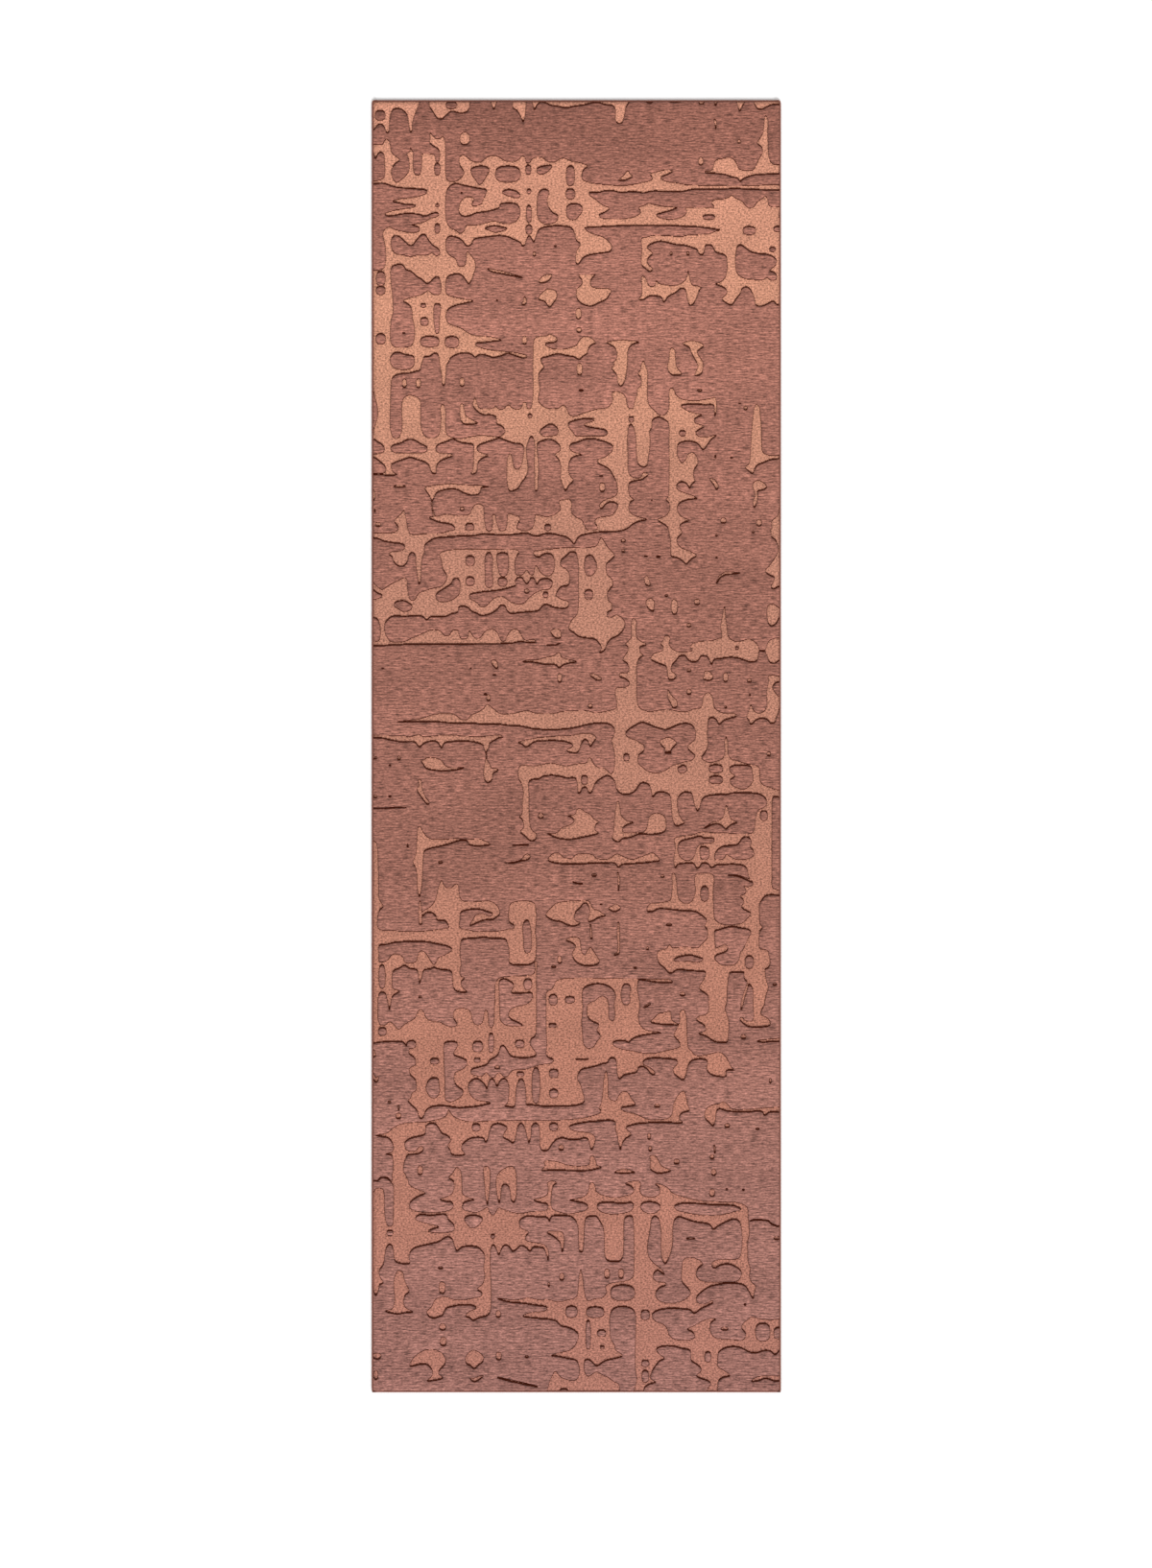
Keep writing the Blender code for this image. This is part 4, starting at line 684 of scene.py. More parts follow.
    # chenille islands in it
    pile(28.4,50.6, 28.5,50.95, 28.75,51.2, 29.25,51.35, 29.7,51.45, 30.55,51.65, 30.85,51.45, 31.4,51.5,
          31.8,51.35, 31.75,51.1, 31.3,51, 30.9,50.95, 30.4,50.85, 30.15,50.5, 30,49.95, 29.7,49.5,
          29.25,49.4, 28.75,49.6, 28.5,49.95)
    pile(30.5,50.6, 31,50.65, 31.3,50.4, 31.3,49.7, 31,49.45, 30.6,49.55)
    pile(31.85,49.95, 32,50.25, 32.4,50.6, 32.9,50.75, 33.9,50.85, 34.2,51.15, 34.4,51.45, 34.75,51.6,
          35.1,51.45, 35.25,51, 35.1,50.7, 35.4,50.35, 35.5,49.95, 35.1,49.6, 34.55,49.5, 33.8,49.5,
          33.3,49.75, 32.9,49.95, 32.7,49.6, 32.2,49.45, 31.85,49.5)
    pile(33.2,57.9, 33.35,58.1, 33.9,58.25, 34.9,58.2, 35.2,58.1, 35.35,57.45, 35.4,56.85, 35.05,56.3,
          34.55,56, 33.9,56.15, 33.4,56.45, 33.25,56.85, 33.6,57.1, 33.75,57.3, 33.35,57.5)
    pile(28.4,57.95, 28.7,58.15, 28.95,58.25, 29.25,58, 29.2,57.7, 28.9,57.5, 28.5,57.6)
    pile(31.85,42.85, 32.2,42.95, 32.8,43.15, 33.55,43.25, 34.4,43.1, 35.05,42.95, 35.2,42.65, 34.95,42.2,
          34.7,41.6, 34.3,40.8, 34.1,40.2, 33.8,39.8, 33.2,39.65, 32.5,39.7, 32,40.05, 31.8,40.3, 32,40.6,
          32.55,40.8, 33,41.05, 33.05,41.35, 32.8,41.6, 32.3,41.4, 31.95,41.3, 31.87,41.8, 31.82,42.3)
    pileIslet(30.9,46.3,.75,1.35)
    pileIslet(23.65,58.95,.55,.65)
    pileIslet(31.95,57.9,1.3,.75)
    pileIslet(31.95,56.87,1.3,.72)
    pileIslet(36.4,53.55,.7,.9)
    pileIslet(19.75,56.85,.6,.85)
    pileIslet(30.9,46.3,.75,1.35)
    flatBar(33.05,48.07,.04, 33.8,48.03,.06, 34.6,47.78,.08, 35.2,47.5,.1)
    # the arch-and-column group at the left
    flat(-1,51.35, 0,51.3, .4,51.1, .55,50.45, .6,49.35, .65,48.1, .65,46.85, .7,45.85, .95,45.4, 1.1,45.15,
          .8,44.85, .6,44.35, .65,43.05, 1.9,42.9, 3.1,42.8, 4,42.8, 5,42.85, 5.9,42.95, 6.75,43.1,
          7.2,43.2,
          7.05,43.5, 6.8,43.8, 6.05,43.87, 6,44.15, 5.75,44.45, 5.4,44.58, 5,44.5, 4.75,44.2, 4.7,44.6,
          5.2,44.95, 5.55,45.2, 5.75,45.45, 6,45.95, 6.1,46.5, 6.3,47.15, 6.5,47.6, 6.7,47.15, 7,46.85,
          7.4,46.85, 7.7,47.15, 8,47.2, 8.1,46.6, 8.2,45.95, 8.5,45.65, 9,45.55, 10,45.6, 10.9,45.65,
          11.45,45.4, 11.75,45.05, 11.9,44.45, 11.55,44.1, 11.2,43.9, 10.4,43.85, 9.75,43.6, 9.1,43.35,
          9.4,43.9, 9.65,44.3, 10.1,44.45, 10.6,44.38, 10.95,44.2, 11.25,44.42, 10.6,44.7, 9.75,44.9,
          8.9,44.8, 8.3,44.6, 8.2,44.1, 8.2,43.15, 9,42.95, 9.6,42.8, 10.6,42.8, 11.9,42.85, 12.6,43,
          13.25,43.15, 13.2,43.4, 12.85,43.6, 12.7,44.1, 12.75,44.95, 12.9,45.4, 13.4,45.6, 14,45.65,
          14.75,45.6, 15.15,45.4, 15.25,44.85, 15.3,43.95, 15.2,42.85, 15.3,41.85, 15.25,40.85, 15.2,40.2,
          14.9,39.85, 14.4,39.7, 13,39.75, 12.75,39.95, 12.8,40.6, 12.7,41.35, 12.55,41.9, 12.35,42.1,
          11.25,42.15, 10.4,42.25, 9.4,42.15, 8.4,42.05, 8.25,41.6, 8.2,40.6, 8.2,39.4, 5.95,39.4, 5.8,39.7,
          6.1,40.05, 6.5,40.35, 6.9,40.7, 7.4,41, 7.45,41.2, 7,41.45, 6.1,41.65, 5,41.85, 4,41.85,
          2.25,41.8,
          1.4,41.6, .7,41.5, .62,40.6, .65,39.4, -1,39.4)
    pile(14.05,43.4, 14.3,43.8, 14.55,43.8, 14.7,43.4, 14.8,42.8, 14.85,41.5, 14.75,41, 14.4,40.8,
          14.15,41.1, 14.1,42)
    flatBar(4.5,45.6,.08, 4.5,44.6,.15, 4.55,43.6,.15)
    # free-standing figures
    flat(4.35,52.55, 4.6,52.45, 4.75,52.1, 5.1,51.65, 5.5,51.4, 6.4,51.35, 7.9,51.42, 9,51.35, 10,51.4,
          10.75,51.1, 11.05,50.87, 9.05,50.85, 8.95,51.15, 8.6,51.25, 8,51.2, 7.1,50.9, 6.1,50.65, 5.4,50.5,
          4.9,50.25, 4.8,49.7, 4.75,48.7, 4.7,47.45, 4.6,46.6, 4.45,46, 4.25,46.7, 4.2,48.1, 4.1,48.7,
          3.85,49.2, 4.1,49.9, 4.2,50.95, 4.25,51.85)
    flat(10.4,60.1, 10.5,59.6, 10.6,59.2, 10.6,58.85, 10.45,58.1, 10.4,57.45, 10.5,56.85, 10.8,56.6,
          11.1,56.8, 11.25,57.05, 11.2,57.3, 11.45,57.6, 11.8,57.8, 11.55,57.95, 11.1,58, 10.95,58.35,
          10.75,58.7, 10.7,59.2, 10.7,59.5, 10.9,60.1)
    flat(4.55,58.7, 4.9,58.75, 5.05,58.9, 5.4,58.98, 6,58.9, 6.5,58.65, 6.8,58.25, 7.1,58.05, 7.8,58,
          8.7,58.05, 8.1,57.85, 7.4,57.75, 6.4,57.72, 5.6,57.8, 5,58, 4.75,58.4)
    flat(16.15,52, 16.9,51.6, 17.6,51.4, 18.5,51.35, 19.55,51.55, 20.3,51.7, 21.1,51.95, 20.75,52.2,
          20.8,52.7, 21.1,53, 20.7,53.2, 20.25,53.7, 19.8,53.9, 19.4,54.2, 19,54.1, 18.95,53.75, 18.6,53.6,
          18.1,53.55, 18.55,53.4, 18.8,53.05, 18.5,52.75, 18.1,52.6, 17.6,52.4, 17.3,52.05, 16.8,51.85)
    flat(22.85,55, 23.05,54.2, 23.1,53.7, 23.35,53.35, 23.8,53.05, 24.4,52.95, 23.8,52.75, 23.3,52.4,
          23.3,52.05, 23.9,51.95, 24.7,52, 25.25,52.05, 25.55,52.45, 25.7,53.2, 25.9,53.6, 26.4,53.8,
          27,53.65,
          27.25,53.35, 27.35,52.6, 27.2,52.1, 26.7,51.9, 25.9,51.8, 24.9,51.85, 24.05,51.55, 23.25,51.4,
          23,51.15, 22.6,51.2, 22.3,51.55, 22.45,51.9, 22.5,52.6, 22.6,53.85)
    flat(16.35,49.45, 16.7,49.95, 17.1,50.1, 17.5,50, 17.8,49.7, 18.6,49.6, 19,49.95, 20.05,50, 20.55,49.9,
          20.85,49.6, 21.7,49.5, 22.2,49.65, 22.7,50, 23.1,49.9, 23.7,49.6, 24.3,49.5, 24.9,49.7,
          25.55,49.95,
          26.05,50.1, 26.4,49.9, 26.75,49.4, 25.9,49.25, 24.3,49.1, 23.2,49, 22.9,48.75, 22.55,49.15,
          21.55,49.15, 20.3,49.15, 19.5,49.05, 18.4,49.05, 17.5,49.1, 16.6,49.28)
    flat(30.6,52.3, 31.1,52.6, 31.6,52.95, 32.2,53.1, 32.6,53.4, 32.75,53.9, 32.9,54.6, 33.05,54.2,
          33.2,53.6, 33.4,53.2, 33.8,53.05, 34,52.95, 33.55,52.8, 33.2,52.6, 32.85,52.3, 32.55,52.6,
          32.05,52.8, 31.55,52.7, 31.05,52.45)
    flat(16.15,44.35, 16.6,44.95, 17.1,45.4, 17.9,45.6, 18.9,45.65, 19.8,45.7, 20.2,45.6, 20.4,45.2,
          20.6,44.9, 21.1,44.75, 21.4,44.5, 21.75,44.3, 21.05,44.1, 20.55,43.8, 20.1,43.72, 20.15,44.1,
          20.25,44.8, 20.1,45.2, 19.9,45.45, 19.6,45.35, 19.4,45.05, 19.05,44.75, 18.85,44.4, 18.8,44,
          19,43.75, 19.4,43.65, 19.1,43.4, 18.7,43.3, 18.1,43.45, 17.6,43.7, 17,43.8, 16.5,44)
    flat(18,42, 18.5,42.3, 19,42.3, 19.3,42.1, 19.4,41.5, 19.5,40.9, 19.8,40.6, 20,41, 20.3,41.35, 20.6,41,
          20.85,40.6, 21.15,40, 20.9,39.75, 20.4,39.62, 19.7,39.65, 19.1,39.9, 18.8,40.2, 18.6,40.75,
          18.95,41.4, 18.5,41.8)
    flat(12.1,49.25, 13.1,49.25, 13.9,49.5, 14.2,49.9, 14.5,50, 14.75,49.75, 14.45,49.45, 13.9,49.35,
          13.1,49.15)
    flat(4.3,56.9, 4.6,56.9, 4.65,56.3, 4.8,55.8, 5.05,55.2, 5.4,54.75, 5.2,54.6, 4.75,55.1, 4.4,55.6,
          4.2,56, 4.4,56.4)
    flat(21.95,45, 22.4,45.2, 22.6,45.35, 22.9,45.25, 23.1,45, 22.8,44.7, 22.55,44.62, 22.2,44.75)
    flat(-1,59.1, .3,59.05, .6,58.95, .4,58.85, -1,58.8)
    # single marks in the chenille
    flatBar(-.5,54.25,.04, 1.2,54.27,.04, 2.6,54.35,.04, 3.3,54.35,.03)
    flatBar(13.05,50.8,.04, 13.8,50.85,.04, 14.6,50.88,.04)
    flatBar(18.6,47.45,.04, 19,47.3,.05, 19.6,47.25,.05)
    flatBar(22.85,48.3,.06, 22.95,47.4,.1, 22.9,46.6,.05)
    flatBar(22.9,43.7,.06, 22.9,42.5,.12, 22.95,41.4,.1, 22.9,40.8,.1, 22.55,40.65,.08)
    flatBar(20.3,43.5,.06, 20.4,42.2,.1)
    flatBar(27.2,59.4,.04, 27.8,59.4,.04)
    flatSpot(2.55,58.9,.3,.35)
    flatSpot(1.7,58.25,.25,.15)
    flatSpot(.35,55.35,.4,.25)
    flatSpot(1.7,55.35,.35,.15)
    flatSpot(3.35,50.8,.15,.4)
    flatSpot(6.4,49.25,.45,.2)
    flatSpot(15.7,53.55,.5,.5)
    flatSpot(20.65,48.05,.5,.25)
    flatSpot(27,47.95,.35,.25)
    flatSpot(21.3,45.35,.3,.12)
    flatSpot(27.6,43.45,.6,.2)
    flatSpot(25.6,41.25,.25,.3)
    flatSpot(17.45,40.2,.4,.7)
    flatSpot(16.9,39.55,.5,.2)
    flatSpot(36.85,59.3,.35,.4)


def drawLowerBand():
    # the great block at the left
    flat(-1,41, -1,32.55, 1,32.55, 2,32.6, 2.9,32.55, 3.15,32.25, 3.5,31.9, 3.45,31.5, 3.9,31.15, 4.1,30.8,
          4.05,30.4, 3.6,30.2, 3.5,29.9, 3.6,29.5, 4,29.1, 4.15,28.7, 4.15,28.1, 3.75,27.8, 3.6,27.3,
          3.35,27.15, 3.7,26.7, 4.2,26.2, 4.4,25.6, 4.6,25.4, 4.8,25.6, 5,26.1, 5.3,26.4, 5.9,26.6, 7,26.6,
          8,26.45, 9,26.5, 9.9,26.6, 10.6,26.75, 11.1,26.9, 10.4,27.05, 9.8,27.15, 9.4,27.4, 9.05,27.9,
          8.95,28.5, 9.2,28.9, 9.7,29.15, 10.2,28.9, 10.5,28.6, 10.7,28.15, 10.85,28.7, 11.05,29.1,
          11.35,29,
          11.65,28.4, 11.9,28.9, 12.3,29.15, 12.65,28.8, 12.75,28, 12.7,27.3, 12.6,26.85, 12.3,26.65,
          12.7,26.55, 13.25,26.55, 13.35,27.5, 13.45,28.4, 13.7,29, 13.95,29.1, 14.2,28.7, 14.3,28,
          14.35,27.2,
          14.35,26.75, 15,26.7, 16,26.57, 17,26.6, 18.3,26.6, 19.2,26.72, 19.7,26.95, 19.7,27.5, 19.55,28,
          19.4,28.6, 19.1,29.1, 19.15,29.5, 19.5,30, 20.1,30.15, 20.8,30.3, 21.5,30.55, 21.9,30.62,
          22.05,30.95,
          22.35,31.1, 22.65,30.9, 22.75,30.3, 22.8,29.6, 23,29.1, 23.4,29.45, 24,29.6, 24.6,29.75,
          24.8,30.2,
          25.2,30.25, 25.6,30, 25.9,29.6, 26.2,29.5, 26.3,29.7, 25.8,30.2, 25.15,30.55, 25.4,30.9, 26,31.05,
          27.4,31, 28.3,30.85, 28.4,30.55, 28,30.1, 28.05,29.65, 28.5,29.25, 28.9,29, 29.15,29.4,
          29.35,30.3,
          29.7,30.8, 30.2,30.95, 31,30.9, 31.2,30.6, 31.05,30.15, 31.4,29.6, 31.9,29.4, 32.9,29.35,
          32.9,29.88,
          33.7,29.95, 33.4,30.2, 33.1,30.8, 32.8,31.25, 32.3,31.6, 31.8,31.55, 31.2,31.38, 30.4,31.28,
          30,31.35, 29.7,31.7, 29.4,32, 29.3,32.8, 29.25,34, 29.15,35.2, 28.9,35.6, 28.6,35.3, 28.6,34.7,
          28.5,34.1, 28.05,33.2, 28.5,32.6, 28.65,32.2, 28.4,32, 27.3,31.75, 26.3,31.5, 25.3,31.5,
          24.2,31.72,
          23,31.95, 22.5,32.2, 22.4,32.5, 22.8,32.65, 23.5,32.65, 23.9,32.5, 24.1,32.75, 24.7,33.05,
          26,33.3,
          27,33.43, 26,33.55, 25.3,33.75, 24.9,34.2, 24.75,35, 24.9,35.8, 24.8,36.6, 24.65,37.6, 24.8,38.3,
          25.1,38.3, 26,38.15, 27,38.05, 27.95,38.1, 27.8,38.3, 26,38.4, 22,38.45, 19.5,38.5, 17.6,38.4,
          17.1,38.2, 16.95,37.8, 16.7,37.45, 16.25,37.2, 16.2,36, 16.2,34, 16.25,32.2, 16.2,31.4, 16.4,31.1,
          16.9,30.9, 16.7,30.6, 16.1,30.5, 15.5,30.4, 14.9,30.2, 14.2,30, 13.2,29.95, 12.9,29.75,
          12.6,29.35,
          12.25,29.35, 11.9,29.7, 11.6,29.55, 11.3,29.2, 10.95,29.4, 10.65,29.75, 10.3,29.4, 9.8,29.42,
          9.2,29.65, 9.3,30, 10,30.22, 10.75,30.5, 11,30.9, 11.5,31.15, 11.8,31.5, 11.95,32.05, 12.2,32.22,
          12.5,31.9, 12.8,31.4, 13.2,31.15, 14.9,31.15, 15.3,31.4, 15,31.9, 14.7,32.4, 14.78,32.8,
          15.15,33.05,
          15.28,33.6, 15.3,36, 15.3,39, 15.35,40, 15.15,40, 15.15,39.1, 14.9,38.8, 14,38.7, 12.6,38.62,
          11.8,38.45, 11.5,38, 11.45,37, 11.38,35.2, 11.3,34.1, 11.05,33.85, 10.88,34.2, 10.8,35.2,
          10.6,35.6,
          10.4,35, 10.3,34.4, 10,34.15, 9.6,34.2, 9.35,34.6, 9.2,35.3, 8.9,35.6, 8,35.65, 7.65,35.4,
          7.6,34.8,
          7.95,34.15, 7.6,33.95, 7,34.05, 6.3,34.4, 5.3,34.6, 5,34.9, 4.85,35.3, 4.6,35.6, 4.3,35.4,
          4.05,34.8,
          3.6,34.5, 3,34.15, 2.5,33.7, 2.1,34.15, 1.65,34.45, 1.3,34.15, .8,34.15, .62,34.6, .6,36, .7,37,
          1,37.2, 1.3,37, 1.5,36.2, 1.65,35.5, 1.8,36.2, 1.95,36.8, 2.65,37.3, 2,37.5, 1.9,38.2, 2,39.1,
          2.6,39.4, 3.05,39.65, 3.6,39.35, 4.2,39.25, 4.35,38.7, 4.45,37.95, 4.65,38.5, 4.85,39.2,
          5.5,39.35,
          6.1,39.62, 7,39.3, 7.45,39, 7.5,38.3, 7.65,37.5, 8,37.22, 8.9,37.22, 8.5,37.55, 8.3,37.9,
          8.35,38.2,
          8.65,38.5, 8.25,38.7, 8.2,39.3, 8.2,40.4, 6.2,40.4, 5.9,39.6, 5.5,40.05, 5.1,40.7, 4.75,41,
          4.4,40.9,
          4.1,40, 3.1,39.95, 2.9,40.45, 2.4,40.7, 1.9,40.65, 1.4,40.1, .65,40, .65,41)
    pile(11.9,38.25, 12.3,38.4, 12.8,38.2, 13.2,37.85, 12.95,37.15, 14.2,37.1, 14.85,37.1, 14.95,36.8,
          14.7,36.3, 14.2,36, 13.3,35.8, 12.85,35.5, 12.7,35, 12.95,34.65, 13.5,34.4, 14.05,34.05, 13,34.05,
          12.4,34.15, 12,34.5, 11.88,35.5, 11.85,37)
    pile(6.75,32.4, 7,32.55, 7.4,32.6, 7.9,32.5, 8,32.25, 7.6,31.4, 8.4,31.05, 8.85,30.75, 8.8,30.4, 8.4,30,
          7.8,29.75, 7.65,29.3, 7.7,28.8, 8,28.4, 8.5,28, 8.4,27.6, 7.9,27.2, 7.3,27, 6.9,27.15, 6.8,27.8,
          6.8,29, 6.72,31)
    pile(19.6,37.4, 20.1,37.78, 21,37.95, 21.8,37.8, 22.4,37.4, 22.65,36.8, 22.5,36, 22.6,35, 22.4,34.5,
          22.05,34.7, 22,35.6, 21.9,36.5, 21.5,36.8, 21.1,36.7, 20.7,36.35, 20.1,36.1, 19.97,35.3,
          20.1,34.8,
          20.5,34.45, 21.1,34.15, 20.9,33.6, 21.2,33.2, 21.2,32.95, 20.9,32.6, 20.6,32.1, 20.1,31.95,
          19.7,32.3, 19.6,33, 19.5,34.5, 19.6,35.6)
    pile(23.15,37, 23.3,37.7, 23.6,37.95, 24,37.7, 23.95,36.9, 23.95,36.2, 23.6,35.95, 23.3,36.2)
    pile(5.05,28.2, 5.2,28.8, 5.5,29.15, 6.15,29.15, 6.25,28.7, 6.3,27.9, 6,27.4, 5.5,27.4)
    pileIslet(.97,38.6,.6,2.2)
    pileIslet(1,33.5,.75,.75)
    pileIslet(3.7,32.3,.85,.7)
    pileIslet(5.85,30.75,.8,.55)
    pileIslet(9.85,32.1,.95,1)
    pileIslet(9.8,30.85,.6,.4)
    pileIslet(11.1,32.45,.5,1.8)
    pileIslet(13.75,32.35,.85,.7)
    pileIslet(14.5,37.9,.75,1)
    pileIslet(15.25,28.5,.75,3.3)
    pileIslet(13.8,29.55,.7,.4)
    pileIslet(16.9,29.6,.85,.8)
    pileIslet(16.9,27.75,.8,.8)
    pileIslet(16.85,36.45,.8,.95)
    pileIslet(18.4,36.45,.9,.6)
    pileIslet(16.8,34.05,.7,.4)
    pileBar(18.95,30.9,.06, 20.1,30.9,.06)
    # the right-hand uprights
    flat(26.6,41, 26.65,39.9, 27.2,39.4, 27.6,38.95, 27.85,38.95, 28.3,39.22, 28.9,39.42, 29.6,39.5,
          30.3,39.3, 31,39, 30.85,38.4, 30.5,37.85, 30.4,37.5, 31.2,36.85, 31.25,36, 31.3,35.5, 31,35.1,
          30.4,34.95, 30.1,34.65, 30.9,34.05, 31,33.6, 30.3,33.35, 31.1,33.05, 31.8,32.6, 32.4,32.5,
          33,32.55,
          33.1,33.2, 33.15,34.4, 32.95,35.2, 32.8,35.6, 32.95,36.2, 33,37.2, 33.08,38.3, 33.25,39,
          33.55,39.4,
          34,39.1, 34.5,39.1, 34.6,38.4, 35,38, 35.35,37.5, 35.4,36, 35.4,34.6, 35,34.45, 34.6,34.6,
          34.4,34.85, 34.15,34.7, 34.4,34.35, 34.9,34.02, 35.6,33.92, 36.3,33.95, 36.95,34.1, 37,34.4,
          36.7,34.8, 36.15,35.1, 36.15,35.4, 36.4,35.9, 36.6,36.9, 36.8,37.6, 36.6,38.4, 36.5,39.2,
          36.7,40.1,
          36.8,41, 34.3,41, 34.1,40.2, 33.8,39.8, 33.2,39.65, 32.5,39.7, 32,40.05, 31.8,40.3, 31.7,41)
    pile(28,40.15, 28.4,40.4, 29.05,40.57, 29.6,40.62, 30.2,40.45, 30.8,40.2, 30.2,39.92, 29.4,40.05,
        28.6,40)
    pileIslet(35.05,39.95,.8,1.15)
    flatBar(34.95,38,.09, 34.6,37,.11, 34.4,36.2,.1, 34.3,35.6,.07)
    # the long band across and what hangs from it
    flat(1.6,24.2, 1.9,24.5, 2.4,24.8, 3,25, 4,25.08, 4.9,25.12, 5.8,25.28, 6.5,25.45, 6.95,25.75,
        7.15,26.3,
          7.35,25.95, 7.7,25.6, 8.3,25.32, 9.1,25.15, 10.8,25.22, 13,25.25, 16.4,25.25, 19,25.4, 20.3,25.65,
          21,25.85, 21.3,26.1, 21.1,26.4, 21.3,26.8, 21.45,27.8, 21.55,29, 21.75,29.9, 21.92,29.2,
          21.95,28.2,
          22.05,27.3, 22.7,27.1, 23,27.7, 23.4,27.98, 23.8,27.85, 24.1,27.3, 24.5,26.75, 23.7,26.55,
          23.1,26.4, 23.5,26.1, 24.3,25.92, 25,25.65, 25.6,25.38, 26.6,25.33, 27.6,25.5, 27.9,25.9, 28,26.7,
          28.3,27.4, 28.7,27.9, 29,28, 29.2,27.4, 29.35,26.7, 29.5,26.2, 28.9,26, 28.58,25.7, 28.6,25.35,
          28.9,25.08, 27.5,25.05, 26,25.05, 25,25, 24.2,24.85, 23.6,24.6, 24.1,23.95, 23.6,23.6, 23.25,23.1,
          23.1,22.5, 22.92,23.1, 22.8,23.9, 22.6,24.5, 22.65,25.05, 22.3,25.25, 21,25.2, 20,25.1, 19,24.95,
          18.3,24.65, 18.7,24.35, 19.5,24.2, 20.3,24.08, 20.75,23.7, 20.65,23, 20.4,22.5, 20.25,23,
          20.1,23.5, 19.8,23.65, 19.2,23.5, 18.4,23.5, 17.6,23.65, 17.1,23.45, 16.7,23, 16.35,22.5,
          15.85,22.45, 15.65,22.8, 15.6,24.2, 15.5,24.8, 15.2,25, 14.85,24.7, 14.8,23.9, 14.6,23.15,
          14.4,23.9, 14.2,24.6, 13.9,25, 13.6,24.75, 13.42,24.1, 13.3,23.4, 13.1,23.15, 12.7,23.45,
          12.2,23.7, 12.35,24.2, 12.6,24.55, 12.2,24.85, 11.7,24.97, 11.2,24.8, 10.95,24.3, 10.8,23.6,
          10.58,23.2, 10.4,23.6, 9.9,23.7, 9.2,23.6, 8.7,23.3, 8.35,22.9, 8.4,22.5, 8.7,22.12, 7.45,22.1,
          7.3,22.5, 7.05,22.9, 7.35,23.4, 7.1,23.8, 6.5,24.1, 6.2,24.6, 5.9,24.95, 5.4,25, 5.05,24.7,
          4.95,24, 4.2,23.75, 3.6,23.6, 3.1,23.2, 3.15,22.65, 3.5,22.4, 4.1,22.45, 4.4,22.8, 4.75,22.85,
          4.8,22.5, 4.4,22.2, 3.9,22.1, 3.4,22.08, 3.1,21.6, 2.95,20.9, 3,20.3, 3.35,19.8, 3.4,19.2,
          2,19.2, 2,20.5, 2,21.5, 1.85,22.05, 1.2,22.12, 1.9,22.35, 2.05,22.75, 1.95,23.1, 1.6,23.6,
          1.1,23.75, .3,23.9, 1,24)
    pileIslet(9.7,24.6,.75,.7)
    pileIslet(15.25,24.3,.6,1.2)
    pileIslet(16.9,24.65,.8,.7)
    flat(30.9,25.8, 31.1,26.4, 31.6,26.7, 32.2,26.8, 32.6,27, 33,26.8, 33.4,26.35, 35,26.3, 36.2,26.42,
          39,26.4, 39,26.02, 36.9,26.02, 36.45,25.72, 36.25,26.08, 34.8,26.05, 33.1,26.12, 32.2,26.32,
          31.98,26, 31.9,25.3, 31.7,24.75, 31.3,25.1, 31,25.4)
    flat(25.85,34.45, 26.2,34.75, 26.6,35.15, 27.4,35.35, 27.6,35.5, 27.8,35.1, 27.85,34.6, 28.5,34.15,
          27.5,34.15, 26.4,34.25)
    flat(15.7,20.65, 16.1,21, 16,21.5, 16.8,21.5, 17.4,21.4, 18.2,21.12, 19.5,21.02, 20.2,21.2, 20.25,21.8,
          20.5,22.05, 20.8,21.5, 20.9,21.1, 21.4,20.95, 20.8,20.75, 20,20.6, 18.5,20.6, 17,20.65)
    flat(22.5,20.45, 23,20.7, 23.6,20.75, 24.5,20.45, 23.6,20.38)
    flat(25.85,20.8, 25.9,21.6, 25.8,21.95, 26.3,22, 26.6,21.6, 26.85,21.1, 27.8,20.6, 27.4,20.45,
          26.6,20.35, 26.2,20.5)
    flat(-1,31.2, .35,31.2, .35,31.6, .1,31.9, -1,31.9)
    flat(.1,29.3, .15,29.8, .4,29.2, .6,29.4, .65,29.1, .4,28.8)
    flat(35.7,32.65, 36.5,32.78, 39,32.85, 39,32.7, 37,32.6, 36.3,32.52)
    flatBar(25.3,35.8,.08, 25.8,36.1,.1)
    flatBar(2.5,26.7,.06, 2.52,26.2,.06)
    flatBar(31.8,23,.06, 31.85,22.3,.08)
    flatSpot(2.5,25.7,.5,.55)
    flatSpot(1.65,27,.35,.2)
    flatSpot(11.65,30.2,.5,.3)
    flatSpot(26.5,26.65,.55,.3)
    flatSpot(28.85,37,.5,.35)
    flatSpot(24.45,39.45,.4,.15)
    flatSpot(34.5,33.05,.5,.4)
    flatSpot(37.4,37.9,.4,.2)
    flatSpot(33,24.8,.5,.35)
    flatSpot(35.8,24.5,.4,.18)
    flatSpot(25.75,23.8,.3,.6)
    flatSpot(25.85,22.65,.3,.5)
    flatSpot(37,28.95,.2,.5)
    flatSpot(17.6,22.75,.5,.5)
    flatSpot(28.3,21.45,.5,.45)
    flatSpot(31.6,21.9,.4,.4)
    flatSpot(31.75,20.45,.45,.6)
    flatSpot(4.5,20.65,.5,.85)
    flatSpot(4.5,36.75,.35,.2)


